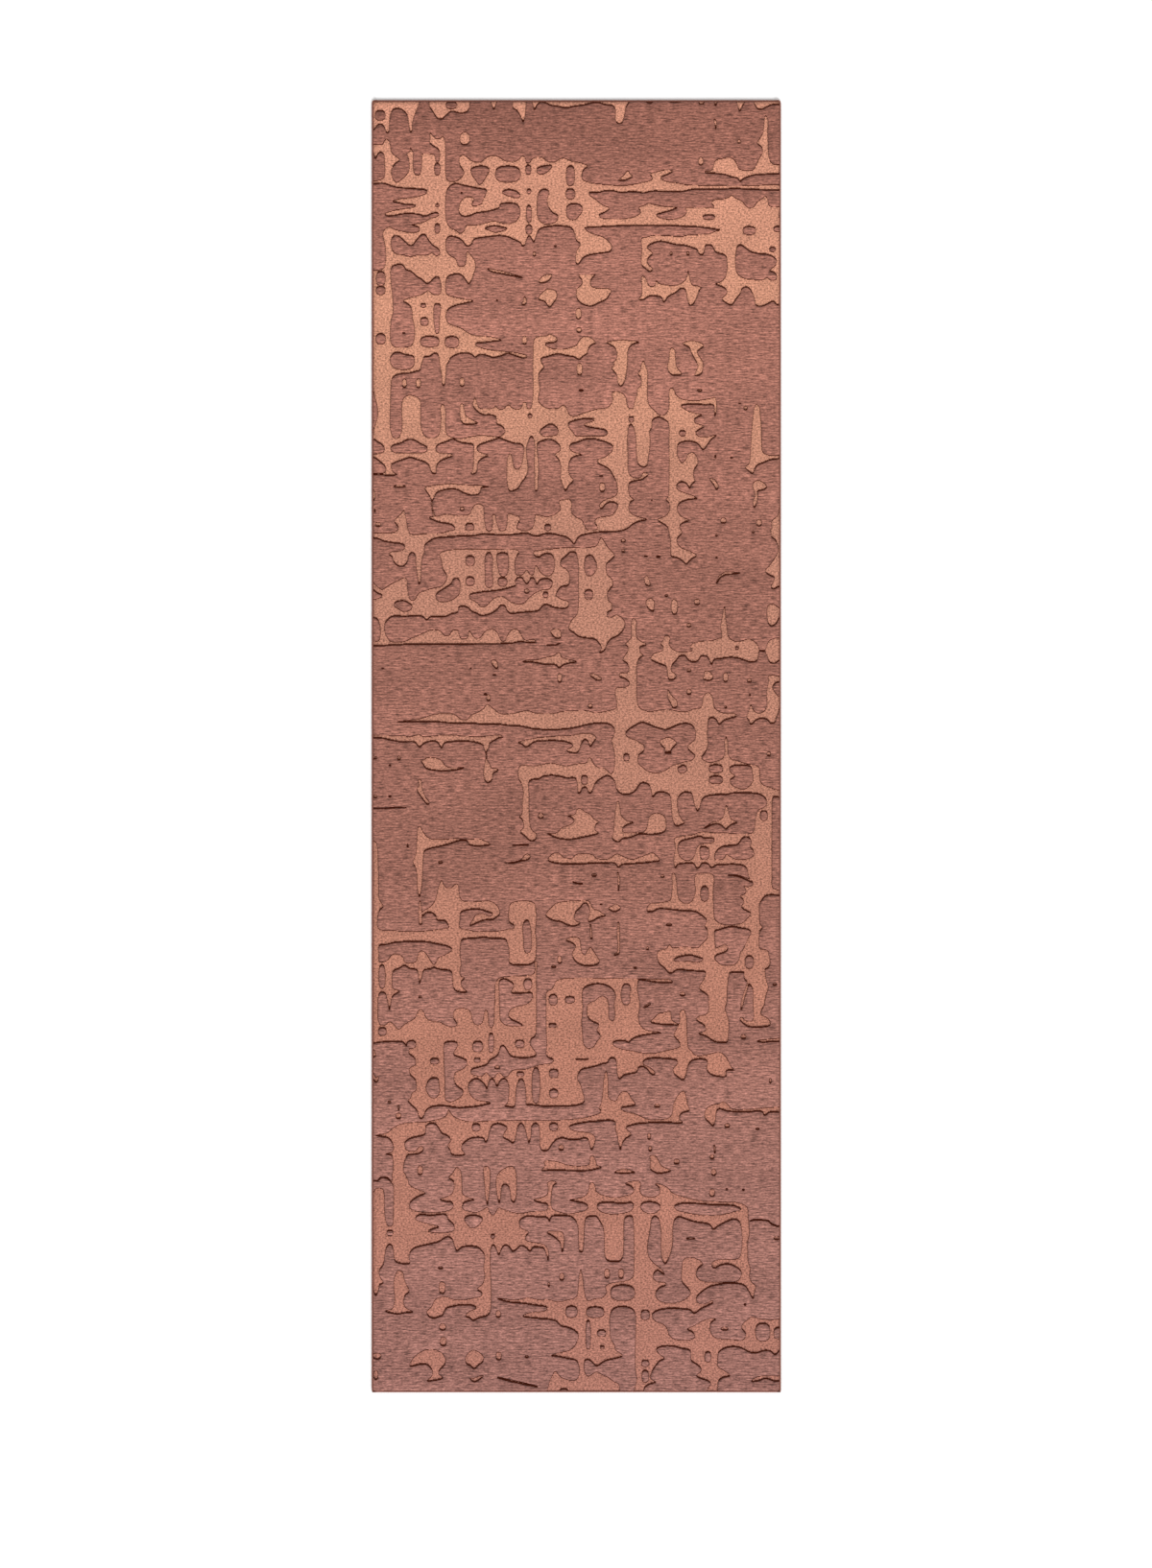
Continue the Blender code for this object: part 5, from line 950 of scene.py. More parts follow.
def drawFootEnd():
    # the net of flat weave that covers most of the foot end, as one loop
    flat(1.95,20.4, 3.05,20.4, 3.35,19.5, 3.7,19.15, 4.3,18.85, 5,18.55, 4.4,18.25, 3.9,17.95, 3.5,17.45,
          3.6,17.1, 4,16.9, 4.8,16.72, 5.8,16.7, 6.8,16.8, 7.3,16.95, 7.6,17.3, 7.4,17.7, 6.9,17.75,
          6.3,17.95, 7,18.2, 7.5,18.5, 7.65,19, 7.6,19.6, 7.15,19.95, 7.55,20.4, 7.9,20.95, 8.25,20.6,
          8.4,19, 8.45,18.45, 9,18.1, 9.6,17.9, 9,17.8, 8.55,17.6, 8.4,17.25, 8.6,16.95, 9.1,16.8,
          9.7,16.72, 10.3,16.95, 10.75,17.2, 10.95,16.75, 11.3,16.45, 11.6,16.9, 11.8,17.15, 12.4,16.95,
          13.2,16.7, 14,16.65, 14.8,16.8, 16.2,16.92, 16.4,17.2, 16.3,17.5, 15.6,17.65, 15,17.9, 15.8,18.1,
          16.3,18.4, 16.4,19, 16.3,19.45, 16.7,19.65, 17.2,19.5, 16.85,19.2, 16.7,18.4, 16.65,17.4,
          16.85,17, 17.5,16.75, 18.2,16.6, 19,16.7, 19.9,16.95, 20.1,17.25, 19.8,17.55, 19.2,17.7,
          18.3,17.9,
          19,18, 19.7,18.2, 20.1,18.6, 20.2,19.3, 20.45,19.55, 20.7,19.3, 20.85,18.7, 21.4,18.35, 22.6,18.1,
          23.6,18.28, 24.2,18.5, 24.35,18.85, 24,19.2, 23.5,19.4, 24,19.58, 24.95,19.55, 24.9,18.8,
          25.1,18.35, 25.7,18.15, 26.3,18.2, 26.75,18.5, 26.7,19, 26.25,19.42, 26.9,19.3, 27.5,19,
          27.85,18.6, 28.5,18.3, 29.4,18.05, 30.5,17.82, 32,17.72, 33.6,17.68, 34.4,17.5, 34.85,17.2,
          34.95,16.2, 35.05,14.8, 34.9,14, 34.9,13, 34.95,12.1, 35.15,11.5, 35.05,10.8, 35.3,10.2,
          35.65,9.9, 35.5,9.3, 35.4,8.7, 35,9.4, 34.6,9.95, 34,10.12, 33,10.15, 32,10, 31.3,9.8, 30.7,9.4,
          30.15,8.85, 30.2,8.4, 30.7,8.2, 31.2,8.35, 31.6,8.55, 31.75,8.4, 31.2,8.1, 30.6,7.8, 29.9,7.35,
          29.6,7.65, 28.8,7.78, 27.4,7.8, 26.6,7.65, 26.1,7.35, 26.05,7, 26.4,6.6, 27,6.38, 27.4,6,
          27.6,5.4, 28,5, 28.8,4.85, 29.6,4.9, 30,5.15, 29.8,5.6, 29.25,5.9, 29.9,6.2, 30.6,6.6, 31.3,6.85,
          32,6.85, 31.5,6.5, 31.4,6, 31.5,5.5, 31.9,5.1, 32.6,4.95, 33.6,4.9, 34.4,4.85, 34.75,5.4,
          34.3,6.1, 34.9,6.8, 35.3,7.05, 36,6.85, 37,6.75, 39,6.75, 39,4.2, 38,4.05, 37.45,3.5, 37,3.85,
          36.4,3.9, 35.7,3.68, 35.1,3.75, 34.6,4, 34.1,4.22, 33.2,4.25, 32.6,4.05, 32.2,3.7, 32.1,3,
          32.15,2.4, 32.6,2.1, 33.3,1.6, 32.6,1.4, 32.2,1.1, 32.1,.4, 32.1,-1, 31,-1, 31.2,.4, 31.5,.8,
          31.2,1.1, 30.6,1.3, 30.1,1.6, 30.5,1.9, 30.6,2.2, 30.2,2.6, 29.65,3, 29.65,3.6, 29.5,3.95,
          28.8,4.1, 28,4.3, 27,4.3, 26.4,4, 26.8,3.5, 27.2,3.2, 26.7,2.9, 26.3,2.4, 26,1.9, 25.9,1.3,
          26.4,.98, 25.8,.8, 25.3,.4, 25.1,-1, 24.2,-1, 24.4,.4, 24.6,1.2, 24.5,2, 24.45,3.5, 24.5,6,
          24.5,7.2, 24.2,7.75, 23.3,8, 22.5,7.8, 22.15,7.3, 22.1,6, 22.2,5, 22.6,4.3, 22.6,4, 23.3,3.45,
          22.5,3.15, 21.8,3, 21.2,2.65, 20.9,2.45, 20.6,2.7, 20.2,3.05, 19.8,3, 19.75,2, 20.1,1.5,
          20.9,1.95,
          21.4,1.65, 22,1.4, 22.5,1, 22.9,.85, 23,.3, 22.9,-1, 16.35,-1, 16.45,.8, 16.65,1.3, 17.05,2,
          17.5,1.5, 18.3,1.15, 19,1.2, 19.3,1.8, 19.2,2.6, 19,2.98, 18.3,3.15, 17.4,3.35, 16.6,3.45,
          17.4,3.7, 18.5,4, 19,4.6, 19.2,5.35, 18.8,5.8, 18.2,6.05, 17.6,6.2, 17.1,6.65, 16.5,6.8,
          15.4,6.9, 14,7.1, 14.6,7.4, 15.5,7.5, 16.2,7.65, 16.3,7.9, 15,8.15, 14,8.3, 12.5,8.45,
          11.6,8.8, 12.6,8.65, 13.6,8.62, 14.5,8.82, 15.5,8.62, 16.4,8.65, 17.2,8.45, 18.2,8.6, 19,8.9,
          19.15,9.6, 19.25,10.6, 19.4,11.5, 19.6,10.6, 19.7,9.6, 19.9,8.8, 20.1,8.5, 20.6,8.7, 21.4,8.8,
          21.8,9.3, 21.7,9.85, 22,10.08, 23,10.3, 24,10.5, 24.3,10.9, 24.35,12, 24.35,14, 24.3,15.6,
          24.2,16.3, 23.8,16.4, 23.5,16.15, 23.4,15.4, 23.4,14, 23.3,12.6, 23.05,12.22, 22.4,12.15,
          21.85,12.3, 21.65,12.7, 21.6,14, 21.5,15.3, 21.15,15.95, 20.85,16.35, 20.3,16.38, 19.9,16.2,
          19.75,15.4, 19.7,14.2, 19.55,13.05, 19.3,13.1, 19.2,14, 19.15,15.4, 18.9,16, 18.5,16.35,
          17.6,16.42, 16.7,16.35, 16.5,15.85, 16.3,16.25, 15.4,16.3, 14.6,16.4, 14,16.2, 13.7,15.85,
          13.85,15.3, 14.6,14.9, 14.3,14.5, 14.4,14.1, 15.2,13.92, 16,13.75, 16.4,13.2, 16.4,12.2,
          16.2,12.9, 15.95,13.4, 15.4,13.5, 15,13.5, 14.7,13.1, 14.3,13.5, 13.85,13.65, 13.45,13.3,
          13.1,13.1, 12.8,13.5, 12.4,13.7, 12.1,13.4, 11.8,12.75, 11.6,13.3, 11.3,13.72, 11.08,13.4,
          11,12.4, 11.05,10.8, 11.1,8.8, 11,7.5, 10.75,7.18, 10,6.95, 9.4,6.7, 9.1,6.95, 8.7,7.1, 9,7.5,
          9.75,7.85, 9.4,8.08, 8.6,8.15, 7.7,8.05, 6.9,7.8, 6.6,7.2, 6.1,7, 5.8,6.9, 5.3,7.1, 5.1,7.5,
          5.6,8, 5.8,8.5, 6.2,8.8, 6.8,8.9, 7.6,8.65, 8.6,8.6, 9.5,8.8, 10.2,9, 10.25,9.25, 9.8,9.6,
          10.3,10.1, 10.5,10.8, 10.4,11.6, 10.5,12.7, 10.2,13.2, 9.8,13.5, 9,13.58, 8.4,13.5, 7.9,13.15,
          7.7,13.6, 7.5,14.2, 7.1,14.48, 6.7,14.3, 6.2,14, 5.2,13.75, 4.2,13.5, 3.7,13.2, 3.45,12.6,
          3.55,12, 2.7,12, 2.2,12.2, 2.05,12.8, 2,13.4, 1.7,13.78, 1.4,13.5, 1.2,12.6, 1.1,11.9, .7,11.3,
          .8,10.7, 1.1,10.2, .75,10, .6,9.4, .4,9, .2,9.4, .1,10, -1,10, -1,18.5, .2,18.6, .35,18.92,
          1,18.95, 1.15,18.6, 1.2,17, 1.3,16, 1.45,15.55, 1.7,15.4, 1.95,15.55, 2,16.2, 2.05,18, 2.05,19.3)
    # chenille inside the net
    pile(4.05,16.1, 4.4,16.5, 5.5,16.45, 6.9,16.52, 7.1,16.1, 7.6,15.6, 7.65,15.05, 7,14.85, 6,14.85,
          5.2,14.95, 5.7,15.2, 6.3,15.4, 5.6,15.6, 4.8,15.8)
    pile(8.6,16.1, 9,16.42, 9.8,16.42, 10.3,16.15, 10,15.6, 9.3,15.25, 8.9,15.6)
    pile(20.9,17.35, 21.3,17.62, 22.2,17.65, 23.2,17.55, 24.2,17.6, 24.3,17.25, 24,16.85, 23,16.6,
          22,16.6, 21.2,16.85)
    pile(24.95,17.3, 25.3,17.65, 26.3,17.65, 26.8,17.3, 26.6,16.85, 25.9,16.6, 25.2,16.85)
    pile(28.1,17.3, 28.7,17.55, 30,17.55, 32,17.4, 33.6,17.35, 34.3,17, 33.5,16.75, 32,16.45, 30.5,16.5,
          29,16.75, 28.3,16.95)
    pile(26,12.2, 25.65,12.9, 25.6,13.6, 25.85,15.2, 26,16.1, 26.3,16.38, 26.65,16.1, 26.85,15, 26.85,13.5,
          27,12.3, 27.25,11.95, 27.7,12.8, 27.95,14, 27.95,15.2, 28.1,16, 28.5,16.32, 29.2,16.1, 30,15.85,
          31.4,15.58, 31.7,15.15, 32.2,15.5, 33,15.9, 33.6,16.12, 34.1,15.9, 34.35,15, 34.35,13.5,
          34.1,12.5, 33.3,12.35, 32,12.3, 31.55,12, 31.75,11.55, 32.4,11.85, 33.2,11.92, 34,11.55,
          34.35,11.1, 34,10.4, 32.5,10.28, 31,10.28, 30.4,10.5, 30.1,11, 30.35,11.6, 30.75,11.95, 30.2,12.4,
          29.5,12.55, 28.95,12.35, 28.8,11.5, 28.8,10.3, 29.3,9.75, 29.6,9.3, 29.3,8.8, 28.5,8.4, 27.4,8.3,
          26.6,8.6, 26.35,9.2, 26.75,9.75, 27.3,9.98, 27.3,10.18, 26.4,10.35, 26.1,10.8, 26.5,11.36,
          27.2,10.92, 27,11.35, 26.6,11.7)
    pileIslet(1.7,14.8,.6,.5)
    pileIslet(11.25,14.5,.4,.35)
    pileIslet(23.3,9.25,2.25,1.45)
    pileIslet(20.75,7.45,1.65,1)
    pileIslet(18.55,7.5,1.1,1.05)
    pileIslet(25.4,7.2,.8,.9)
    pileIslet(20.1,5.35,.45,2.7)
    pileIslet(21.35,5.5,.8,.6)
    pileIslet(21.4,4.2,.45,.22)
    pileIslet(25.4,2.7,.7,.6)
    pileIslet(25.4,1.5,.65,1.1)
    pileIslet(31.2,3.3,.6,.95)
    pileIslet(36.3,5.6,1.35,1.65)
    pileIslet(37.75,5.5,.85,1.05)
    pileIslet(17.85,.15,.7,.4)
    # free-standing figures
    flat(1.2,7.6, 1.95,7.8, 2.15,8.6, 2.05,10, 2.15,10.8, 2.5,11.35, 2.9,11.2, 3,10.6, 3.25,10, 3.5,9.4,
          3.1,9, 2.95,8.4, 3.2,7.85, 3.9,7.5, 3,7.4, 2.4,7.3, 1.8,7.4)
    flat(3.55,2.45, 3.8,3.1, 4.3,3.6, 5,3.95, 6,3.95, 6.6,3.6, 6.9,3, 6.7,2.5, 6.4,2.2, 6.2,1.75, 6.65,1.38,
          5.9,1.15, 5.1,1.1, 5.6,1.55, 5.65,2, 5.4,2.4, 5,2.65, 4.4,2.62)
    flat(8.7,3.1, 8.9,3.6, 9.4,3.95, 9.9,3.8, 10.4,3.3, 10.3,2.85, 9.9,2.55, 9.5,2.2, 9.2,2.5, 8.8,2.7)
    flat(9.1,1.35, 9.5,1.35, 10,1.55, 10.4,1.6, 10,1.22, 9.5,1)
    flat(10.45,21, 10.9,20.9, 10.95,19, 10.85,18, 10.75,17.4, 10.6,18, 10.5,19.2)
    flat(11.55,19.2, 11.6,20, 11.9,20.5, 12.5,20.9, 13.1,21, 13.4,20.5, 13.45,19.4, 13.42,18.2, 13.2,17.65,
          12.95,17.9, 12.88,18.6, 12.7,19.15, 12.4,19.35, 12.1,19.15, 12,18.4, 11.85,17.55, 11.68,18.2)
    flat(16.2,14.9, 17.1,14.98, 17.7,14.9, 17.88,14.1, 17.68,13, 17.5,13.9, 17.25,14.2, 16.8,14.55)
    flat(35.2,1.05, 35.6,1.38, 36.2,1.55, 37,1.55, 39,1.5, 39,1.28, 37.5,1.05, 36.6,1.32, 35.8,1.08)
    flatBar(.1,19.68,.04, .6,19.7,.04, .85,20,.05, 1.45,19.98,.05, 1.95,19.45,.04)
    flatBar(11.7,1.42,.06, 13,1.1,.08, 14,.88,.08, 15.4,.58,.05)
    flatBar(35.1,15.95,.04, 35.5,16.08,.05, 36.8,16,.05, 37.1,15.68,.05, 37.6,15.48,.05, 39,15.55,.05)
    flatSpot(6.55,9.75,.6,1.1)
    flatSpot(6.6,6.1,.6,.6)
    flatSpot(6.65,4.75,.6,.8)
    flatSpot(11.75,7.3,.45,.65)
    flatSpot(11.8,3.4,.5,.75)
    flatSpot(14.4,3.35,.4,.18)
    flatSpot(6.4,11.6,.5,.2)
    flatSpot(17.65,10.75,.45,.65)
    flatSpot(16.45,10.05,.2,.45)
    flatSpot(.5,3.4,.75,.55)
    flatSpot(.4,1.65,.4,.85)
    flatSpot(21.85,11.05,.5,.9)
    flatSpot(23.15,11.05,.5,.9)
    flatSpot(29.6,14.32,.9,.15)
    flatSpot(31.6,18.55,.5,.7)
    flatSpot(32.95,18.9,.22,.22)
    flatSpot(34.5,18.85,.3,.15)
    flatSpot(37.6,14.35,.6,.3)
    flatSpot(34.65,8.2,.25,.18)
    flatSpot(32.75,5.95,.7,.3)


drawHeadEnd()
drawUpperBand()
drawMiddleHigh()
drawMiddleLow()
drawLowerBand()
drawFootEnd()
print("figure drawn, flat share", round(float(figure.mean()), 3))


sampleSize = squareX / samplesPerSquare
edgeBlur = 1.15  # in samples


def blurred(values, sigma):
    reach = int(math.ceil(sigma * 3))
    weights = np.exp(-0.5 * (np.arange(-reach, reach + 1) / sigma) ** 2)
    weights /= weights.sum()
    for axis in (0, 1):
        pad = [(reach, reach) if axis == side else (0, 0) for side in (0, 1)]
        padded = np.pad(values, pad, mode="edge")
        length = values.shape[axis]
        shifted = (np.take(padded, np.arange(k, k + length), axis) for k in range(2 * reach + 1))
        values = sum(weight * part for weight, part in zip(weights, shifted))
    return values


def depthIntoPile(values):
    # a blurred straight edge is a bell curve's sum, so its inverse gives the distance from the edge
    table = np.linspace(-3.2, 3.2, 400)
    share = np.array([0.5 * (1 + math.erf(z / math.sqrt(2))) for z in table])
    return -np.interp(blurred(values, edgeBlur), share, table) * edgeBlur * sampleSize


depth = depthIntoPile(figure)
slopeBlur = 1.6  # in samples
slopeY, slopeX = np.gradient(blurred(depth, slopeBlur))
slopeSize = np.maximum(np.hypot(slopeX, slopeY), 1e-9)
towardsPileX = slopeX / slopeSize
towardsPileY = slopeY / slopeSize

# The outline is bold where the flat weave lies above the pile, and fine elsewhere: the fine width is the
# real dark outline yarn, and the extra width on those edges is painted shade, the shadow of the pile's
# raised wall drawn as dark yarn.
outline = {"fine": 0.0014, "shadedWidth": 0.0026, "under": 0.0003, "shadeGain": 1.25, "shadeStart": 0.15}
paintedShadeShare = np.clip(-towardsPileY * outline["shadeGain"] - outline["shadeStart"], 0, 1)
outlineAndShadeWidth = outline["fine"] + (outline["shadedWidth"] - outline["fine"]) * paintedShadeShare

sampleX = boxLow.x + (np.arange(figure.shape[1]) + 0.5) * sampleSize
sampleY = boxLow.y + (np.arange(figure.shape[0]) + 0.5) * squareY / samplesPerSquare


wovenCorner = 0.004  # corner radius of the woven field inside the overlock


def depthInRug(x, y, inset):
    # how far inside the rug's rounded outline, less an inset
    halfX, halfY = rugWidth / 2 - inset, rugLength / 2 - inset
    overX = np.abs(x) - (halfX - wovenCorner)
    overY = np.abs(y) - (halfY - wovenCorner)
    outside = np.hypot(np.maximum(overX, 0), np.maximum(overY, 0))
    return wovenCorner - outside - np.minimum(np.maximum(overX, overY), 0)


def sampleAt(values, x, y):
    column = np.clip((x - sampleX[0]) / sampleSize, 0, len(sampleX) - 1.001)
    row = np.clip((y - sampleY[0]) / (squareY / samplesPerSquare), 0, len(sampleY) - 1.001)
    c, r = column.astype(int), row.astype(int)
    u, v = column - c, row - r
    low = values[r, c] * (1 - u) + values[r, c + 1] * u
    high = values[r + 1, c] * (1 - u) + values[r + 1, c + 1] * u
    return low * (1 - v) + high * v


def waves(x, y, seed, size):
    # slow unevenness without a random source: three crossing waves
    return (
        np.sin(x / size + 1.3 * seed + 0.7 * np.sin(y / size * 0.61 + seed))
        + np.sin(y / size * 0.83 + 2.1 * seed + 0.9 * np.sin(x / size * 1.27))
        + np.sin((x + y) / size * 1.71 + 0.4 * seed)
    ) / 3


def addPiece(name, points, faces, material, replaced=(), smooth=True):
    mesh = bpy.data.meshes.new(name)
    points = np.asarray(points, np.float32)
    faces = np.asarray(faces, np.int32)
    corners = faces.shape[1]
    mesh.vertices.add(len(points))
    mesh.vertices.foreach_set("co", points.ravel())
    mesh.loops.add(faces.size)
    mesh.loops.foreach_set("vertex_index", faces.ravel())
    mesh.polygons.add(len(faces))
    mesh.polygons.foreach_set("loop_start", np.arange(0, faces.size, corners, dtype=np.int32))
    mesh.polygons.foreach_set("use_smooth", np.full(len(faces), smooth))
    mesh.update(calc_edges=True)
    mesh.validate()
    mesh.materials.append(material)
    piece = bpy.data.objects.new(name, mesh)
    bpy.context.scene.collection.objects.link(piece)
    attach(piece, "root")
    if replaced:
        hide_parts(*replaced)
    print(name, len(points), "points", len(faces), "faces")
    return piece


def contour(values, x, y):
    # marching squares: crossing points, and segments with the positive side on their left
    inside = values > 0
    height, width = values.shape
    points, count = [], 0
    ids = []
    for axis in (1, 0):
        a = inside[:, :-1] if axis else inside[:-1]
        b = inside[:, 1:] if axis else inside[1:]
        r, c = np.nonzero(a != b)
        va = values[r, c]
        vb = values[r, c + 1] if axis else values[r + 1, c]
        share = np.clip(va / (va - vb), 0.06, 0.94)
        px = x[c] + (share * (x[1] - x[0]) if axis else 0)
        py = y[r] + (0 if axis else share * (y[1] - y[0]))
        table = np.full(a.shape, -1, np.int64)
        table[r, c] = count + np.arange(len(r))
        ids.append(table)
        points.append(np.stack([px, py], 1))
        count += len(r)
    across, up = ids
    bottom, top, left, right = across[:-1], across[1:], up[:, :-1], up[:, 1:]
    kind = inside[:-1, :-1] + 2 * inside[:-1, 1:] + 4 * inside[1:, 1:] + 8 * inside[1:, :-1]
    joins = {
        1: [(bottom, left)], 2: [(right, bottom)], 3: [(right, left)], 4: [(top, right)],
        5: [(bottom, left), (top, right)], 6: [(top, bottom)], 7: [(top, left)], 8: [(left, top)],
        9: [(bottom, top)], 10: [(right, bottom), (left, top)], 11: [(right, top)], 12: [(left, right)],
        13: [(bottom, right)], 14: [(left, bottom)],
    }
    segments = [
        np.stack([start[kind == case], stop[kind == case]], 1)
        for case, pairs in joins.items() for start, stop in pairs
    ]
    return np.concatenate(points), np.concatenate(segments)


def plateau(name, edgeDepth, heightAt, footZ, material, replaced, settings):
    # a raised field: walls along the contour of edgeDepth, and a top whose height follows the depth
    fine = settings["fineStep"]
    margin = 2 * fine
    x = np.arange(boxLow.x - margin, boxHigh.x + margin, fine)
    y = np.arange(boxLow.y - margin, boxHigh.y + margin, fine)
    gridX, gridY = np.meshgrid(x, y)
    values = edgeDepth(gridX, gridY)
    rim, segments = contour(values, x, y)
    near = (values > settings["rimClear"]) & (values < settings["fineReach"])
    near &= ((np.arange(len(x))[None, :] + np.arange(len(y))[:, None]) % 2) == 0
    coarse = int(round(settings["coarseStep"] / fine))
    far = np.zeros_like(near)
    far[::coarse, ::coarse] = values[::coarse, ::coarse] >= settings["fineReach"]
    inner = np.stack([gridX[near | far], gridY[near | far]], 1)
    flatPoints = np.vstack([rim, inner])
    made = delaunay_2d_cdt([Vector(p) for p in flatPoints], segments.tolist(), [], 0, 1e-7)
    top = np.array([tuple(v) for v in made[0]])
    faces = np.array([f for f in made[2] if len(f) == 3])
    middle = top[faces].mean(1)
    faces = faces[edgeDepth(middle[:, 0], middle[:, 1]) > 0]
    a, b, c = (top[faces[:, k]] for k in range(3))
    turn = (b[:, 0] - a[:, 0]) * (c[:, 1] - a[:, 1]) - (b[:, 1] - a[:, 1]) * (c[:, 0] - a[:, 0])
    faces[turn < 0] = faces[turn < 0][:, ::-1]
    points = np.column_stack([top, heightAt(top[:, 0], top[:, 1])])
    # walls under every edge that only one top face uses
    edges = np.concatenate([faces[:, [0, 1]], faces[:, [1, 2]], faces[:, [2, 0]]])
    keys = np.sort(edges, axis=1)
    _, first, seen = np.unique(keys, axis=0, return_index=True, return_counts=True)
    border = edges[first[seen == 1]]
    used, place = np.unique(border, return_inverse=True)
    foot = points[used].copy()
    foot[:, 2] = footZ
    place = place.reshape(border.shape) + len(points)
    walls = np.concatenate([
        np.stack([border[:, 1], border[:, 0], place[:, 0]], 1),
        np.stack([border[:, 1], place[:, 0], place[:, 1]], 1),
    ])
    return addPiece(name, np.vstack([points, foot]), np.vstack([faces, walls]), material, replaced)


class Nodes:
    def __init__(self, name, roughness, sheen=0.0):
        self.material = bpy.data.materials.new(name)
        self.material.use_nodes = True
        self.tree = self.material.node_tree
        self.shader = self.tree.nodes["Principled BSDF"]
        self.shader.inputs["Roughness"].default_value = roughness
        self.shader.inputs["Specular IOR Level"].default_value = 0.06
        self.shader.inputs["Sheen Weight"].default_value = sheen
        self.shader.inputs["Sheen Roughness"].default_value = 0.5
        self.place = self.tree.nodes.new("ShaderNodeTexCoord").outputs["Object"]

    def link(self, source, target):
        self.tree.links.new(source, target)

    def noise(self, scale, detail=2.0, rough=0.5):
        stretch = self.tree.nodes.new("ShaderNodeMapping")
        stretch.inputs["Scale"].default_value = scale
        self.link(self.place, stretch.inputs["Vector"])
        node = self.tree.nodes.new("ShaderNodeTexNoise")
        node.inputs["Scale"].default_value = 1.0
        node.inputs["Detail"].default_value = detail
        node.inputs["Roughness"].default_value = rough
        self.link(stretch.outputs["Vector"], node.inputs["Vector"])
        return node.outputs["Fac"]

    def wave(self, scale, direction, distortion):
        node = self.tree.nodes.new("ShaderNodeTexWave")
        node.wave_type = "BANDS"
        node.bands_direction = direction
        node.inputs["Scale"].default_value = scale
        node.inputs["Distortion"].default_value = distortion
        node.inputs["Detail"].default_value = 1.0
        self.link(self.place, node.inputs["Vector"])
        return node.outputs["Fac"]

    def ramp(self, value, stops):
        node = self.tree.nodes.new("ShaderNodeValToRGB")
        elements = node.color_ramp.elements
        while len(elements) < len(stops):
            elements.new(0.5)
        for element, (position, colour) in zip(elements, stops):
            element.position = position
            element.color = (*colour, 1.0)
        self.link(value, node.inputs["Fac"])
        return node.outputs["Color"]

    def level(self, value, low, high, fromLow=0.3, fromHigh=0.7):
        node = self.tree.nodes.new("ShaderNodeMapRange")
        node.inputs["From Min"].default_value = fromLow
        node.inputs["From Max"].default_value = fromHigh
        node.inputs["To Min"].default_value = low
        node.inputs["To Max"].default_value = high
        self.link(value, node.inputs["Value"])
        return node.outputs["Result"]

    def math(self, kind, a, b):
        node = self.tree.nodes.new("ShaderNodeMath")
        node.operation = kind
        for socket, value in zip(node.inputs, (a, b)):
            if isinstance(value, (int, float)):
                socket.default_value = value
            else:
                self.link(value, socket)
        return node.outputs["Value"]

    def scaled(self, colour, factor):
        node = self.tree.nodes.new("ShaderNodeVectorMath")
        node.operation = "SCALE"
        self.link(colour, node.inputs[0])
        self.link(factor, node.inputs["Scale"])
        return node.outputs["Vector"]

    def along(self):
        # the place along the rug, 0 at the foot end and 1 at the head end
        parts = self.tree.nodes.new("ShaderNodeSeparateXYZ")
        self.link(self.place, parts.inputs["Vector"])
        return self.level(parts.outputs["Y"], 0.0, 1.0, boxLow.y, boxHigh.y)

    def bump(self, height, strength, distance):
        node = self.tree.nodes.new("ShaderNodeBump")
        node.inputs["Strength"].default_value = strength
        node.inputs["Distance"].default_value = distance
        self.link(height, node.inputs["Height"])
        self.link(node.outputs["Normal"], self.shader.inputs["Normal"])

    def finish(self, colour):
        self.link(colour, self.shader.inputs["Base Color"])
        return self.material


def chenilleMaterial():
    nodes = Nodes("chenille", 0.95, 0.12)
    tone = nodes.ramp(nodes.along(), [
        (0.00, (0.262, 0.120, 0.099)),
        (0.18, (0.297, 0.134, 0.107)),
        (0.40, (0.270, 0.114, 0.085)),
        (0.68, (0.285, 0.119, 0.088)),
        (0.82, (0.324, 0.134, 0.099)),
        (0.91, (0.312, 0.128, 0.094)),
        (0.98, (0.238, 0.096, 0.070)),
    ])
    streak = nodes.level(nodes.noise((62, 420, 1), 3.0, 0.62), 0.28, 1.72)
    drift = nodes.level(nodes.noise((2.6, 12, 1), 3.0, 0.6), 0.84, 1.16)
    fleck = nodes.level(nodes.noise((230, 430, 1), 2.0), 0.66, 1.34)
    shade = nodes.math("MULTIPLY", nodes.math("MULTIPLY", streak, drift), fleck)
    yarn = nodes.wave(52.0, "Y", 0.6)
    fibre = nodes.noise((260, 700, 260), 3.0)
    nodes.bump(nodes.math("ADD", nodes.math("MULTIPLY", yarn, 0.5), fibre), 0.6, 0.0012)
    return nodes.finish(nodes.scaled(tone, shade))


def groundMaterial():
    nodes = Nodes("groundCloth", 0.9, 0.05)
    tone = nodes.ramp(nodes.along(), [
        (0.00, (0.365, 0.156, 0.116)),
        (0.25, (0.389, 0.164, 0.113)),
        (0.50, (0.396, 0.178, 0.122)),
        (0.66, (0.416, 0.189, 0.130)),
        (0.80, (0.512, 0.236, 0.152)),
        (1.00, (0.525, 0.236, 0.158)),
    ])
    grain = nodes.level(nodes.noise((270, 350, 1), 2.0, 0.6), 0.42, 1.58)
    drift = nodes.level(nodes.noise((9, 14, 1), 2.0), 0.93, 1.07)
    twill = nodes.math("MULTIPLY", nodes.wave(95.0, "X", 0.3), nodes.wave(95.0, "Y", 0.3))
    nodes.bump(nodes.math("ADD", twill, nodes.noise((700, 700, 700))), 0.5, 0.0007)
    return nodes.finish(nodes.scaled(tone, nodes.math("MULTIPLY", grain, drift)))


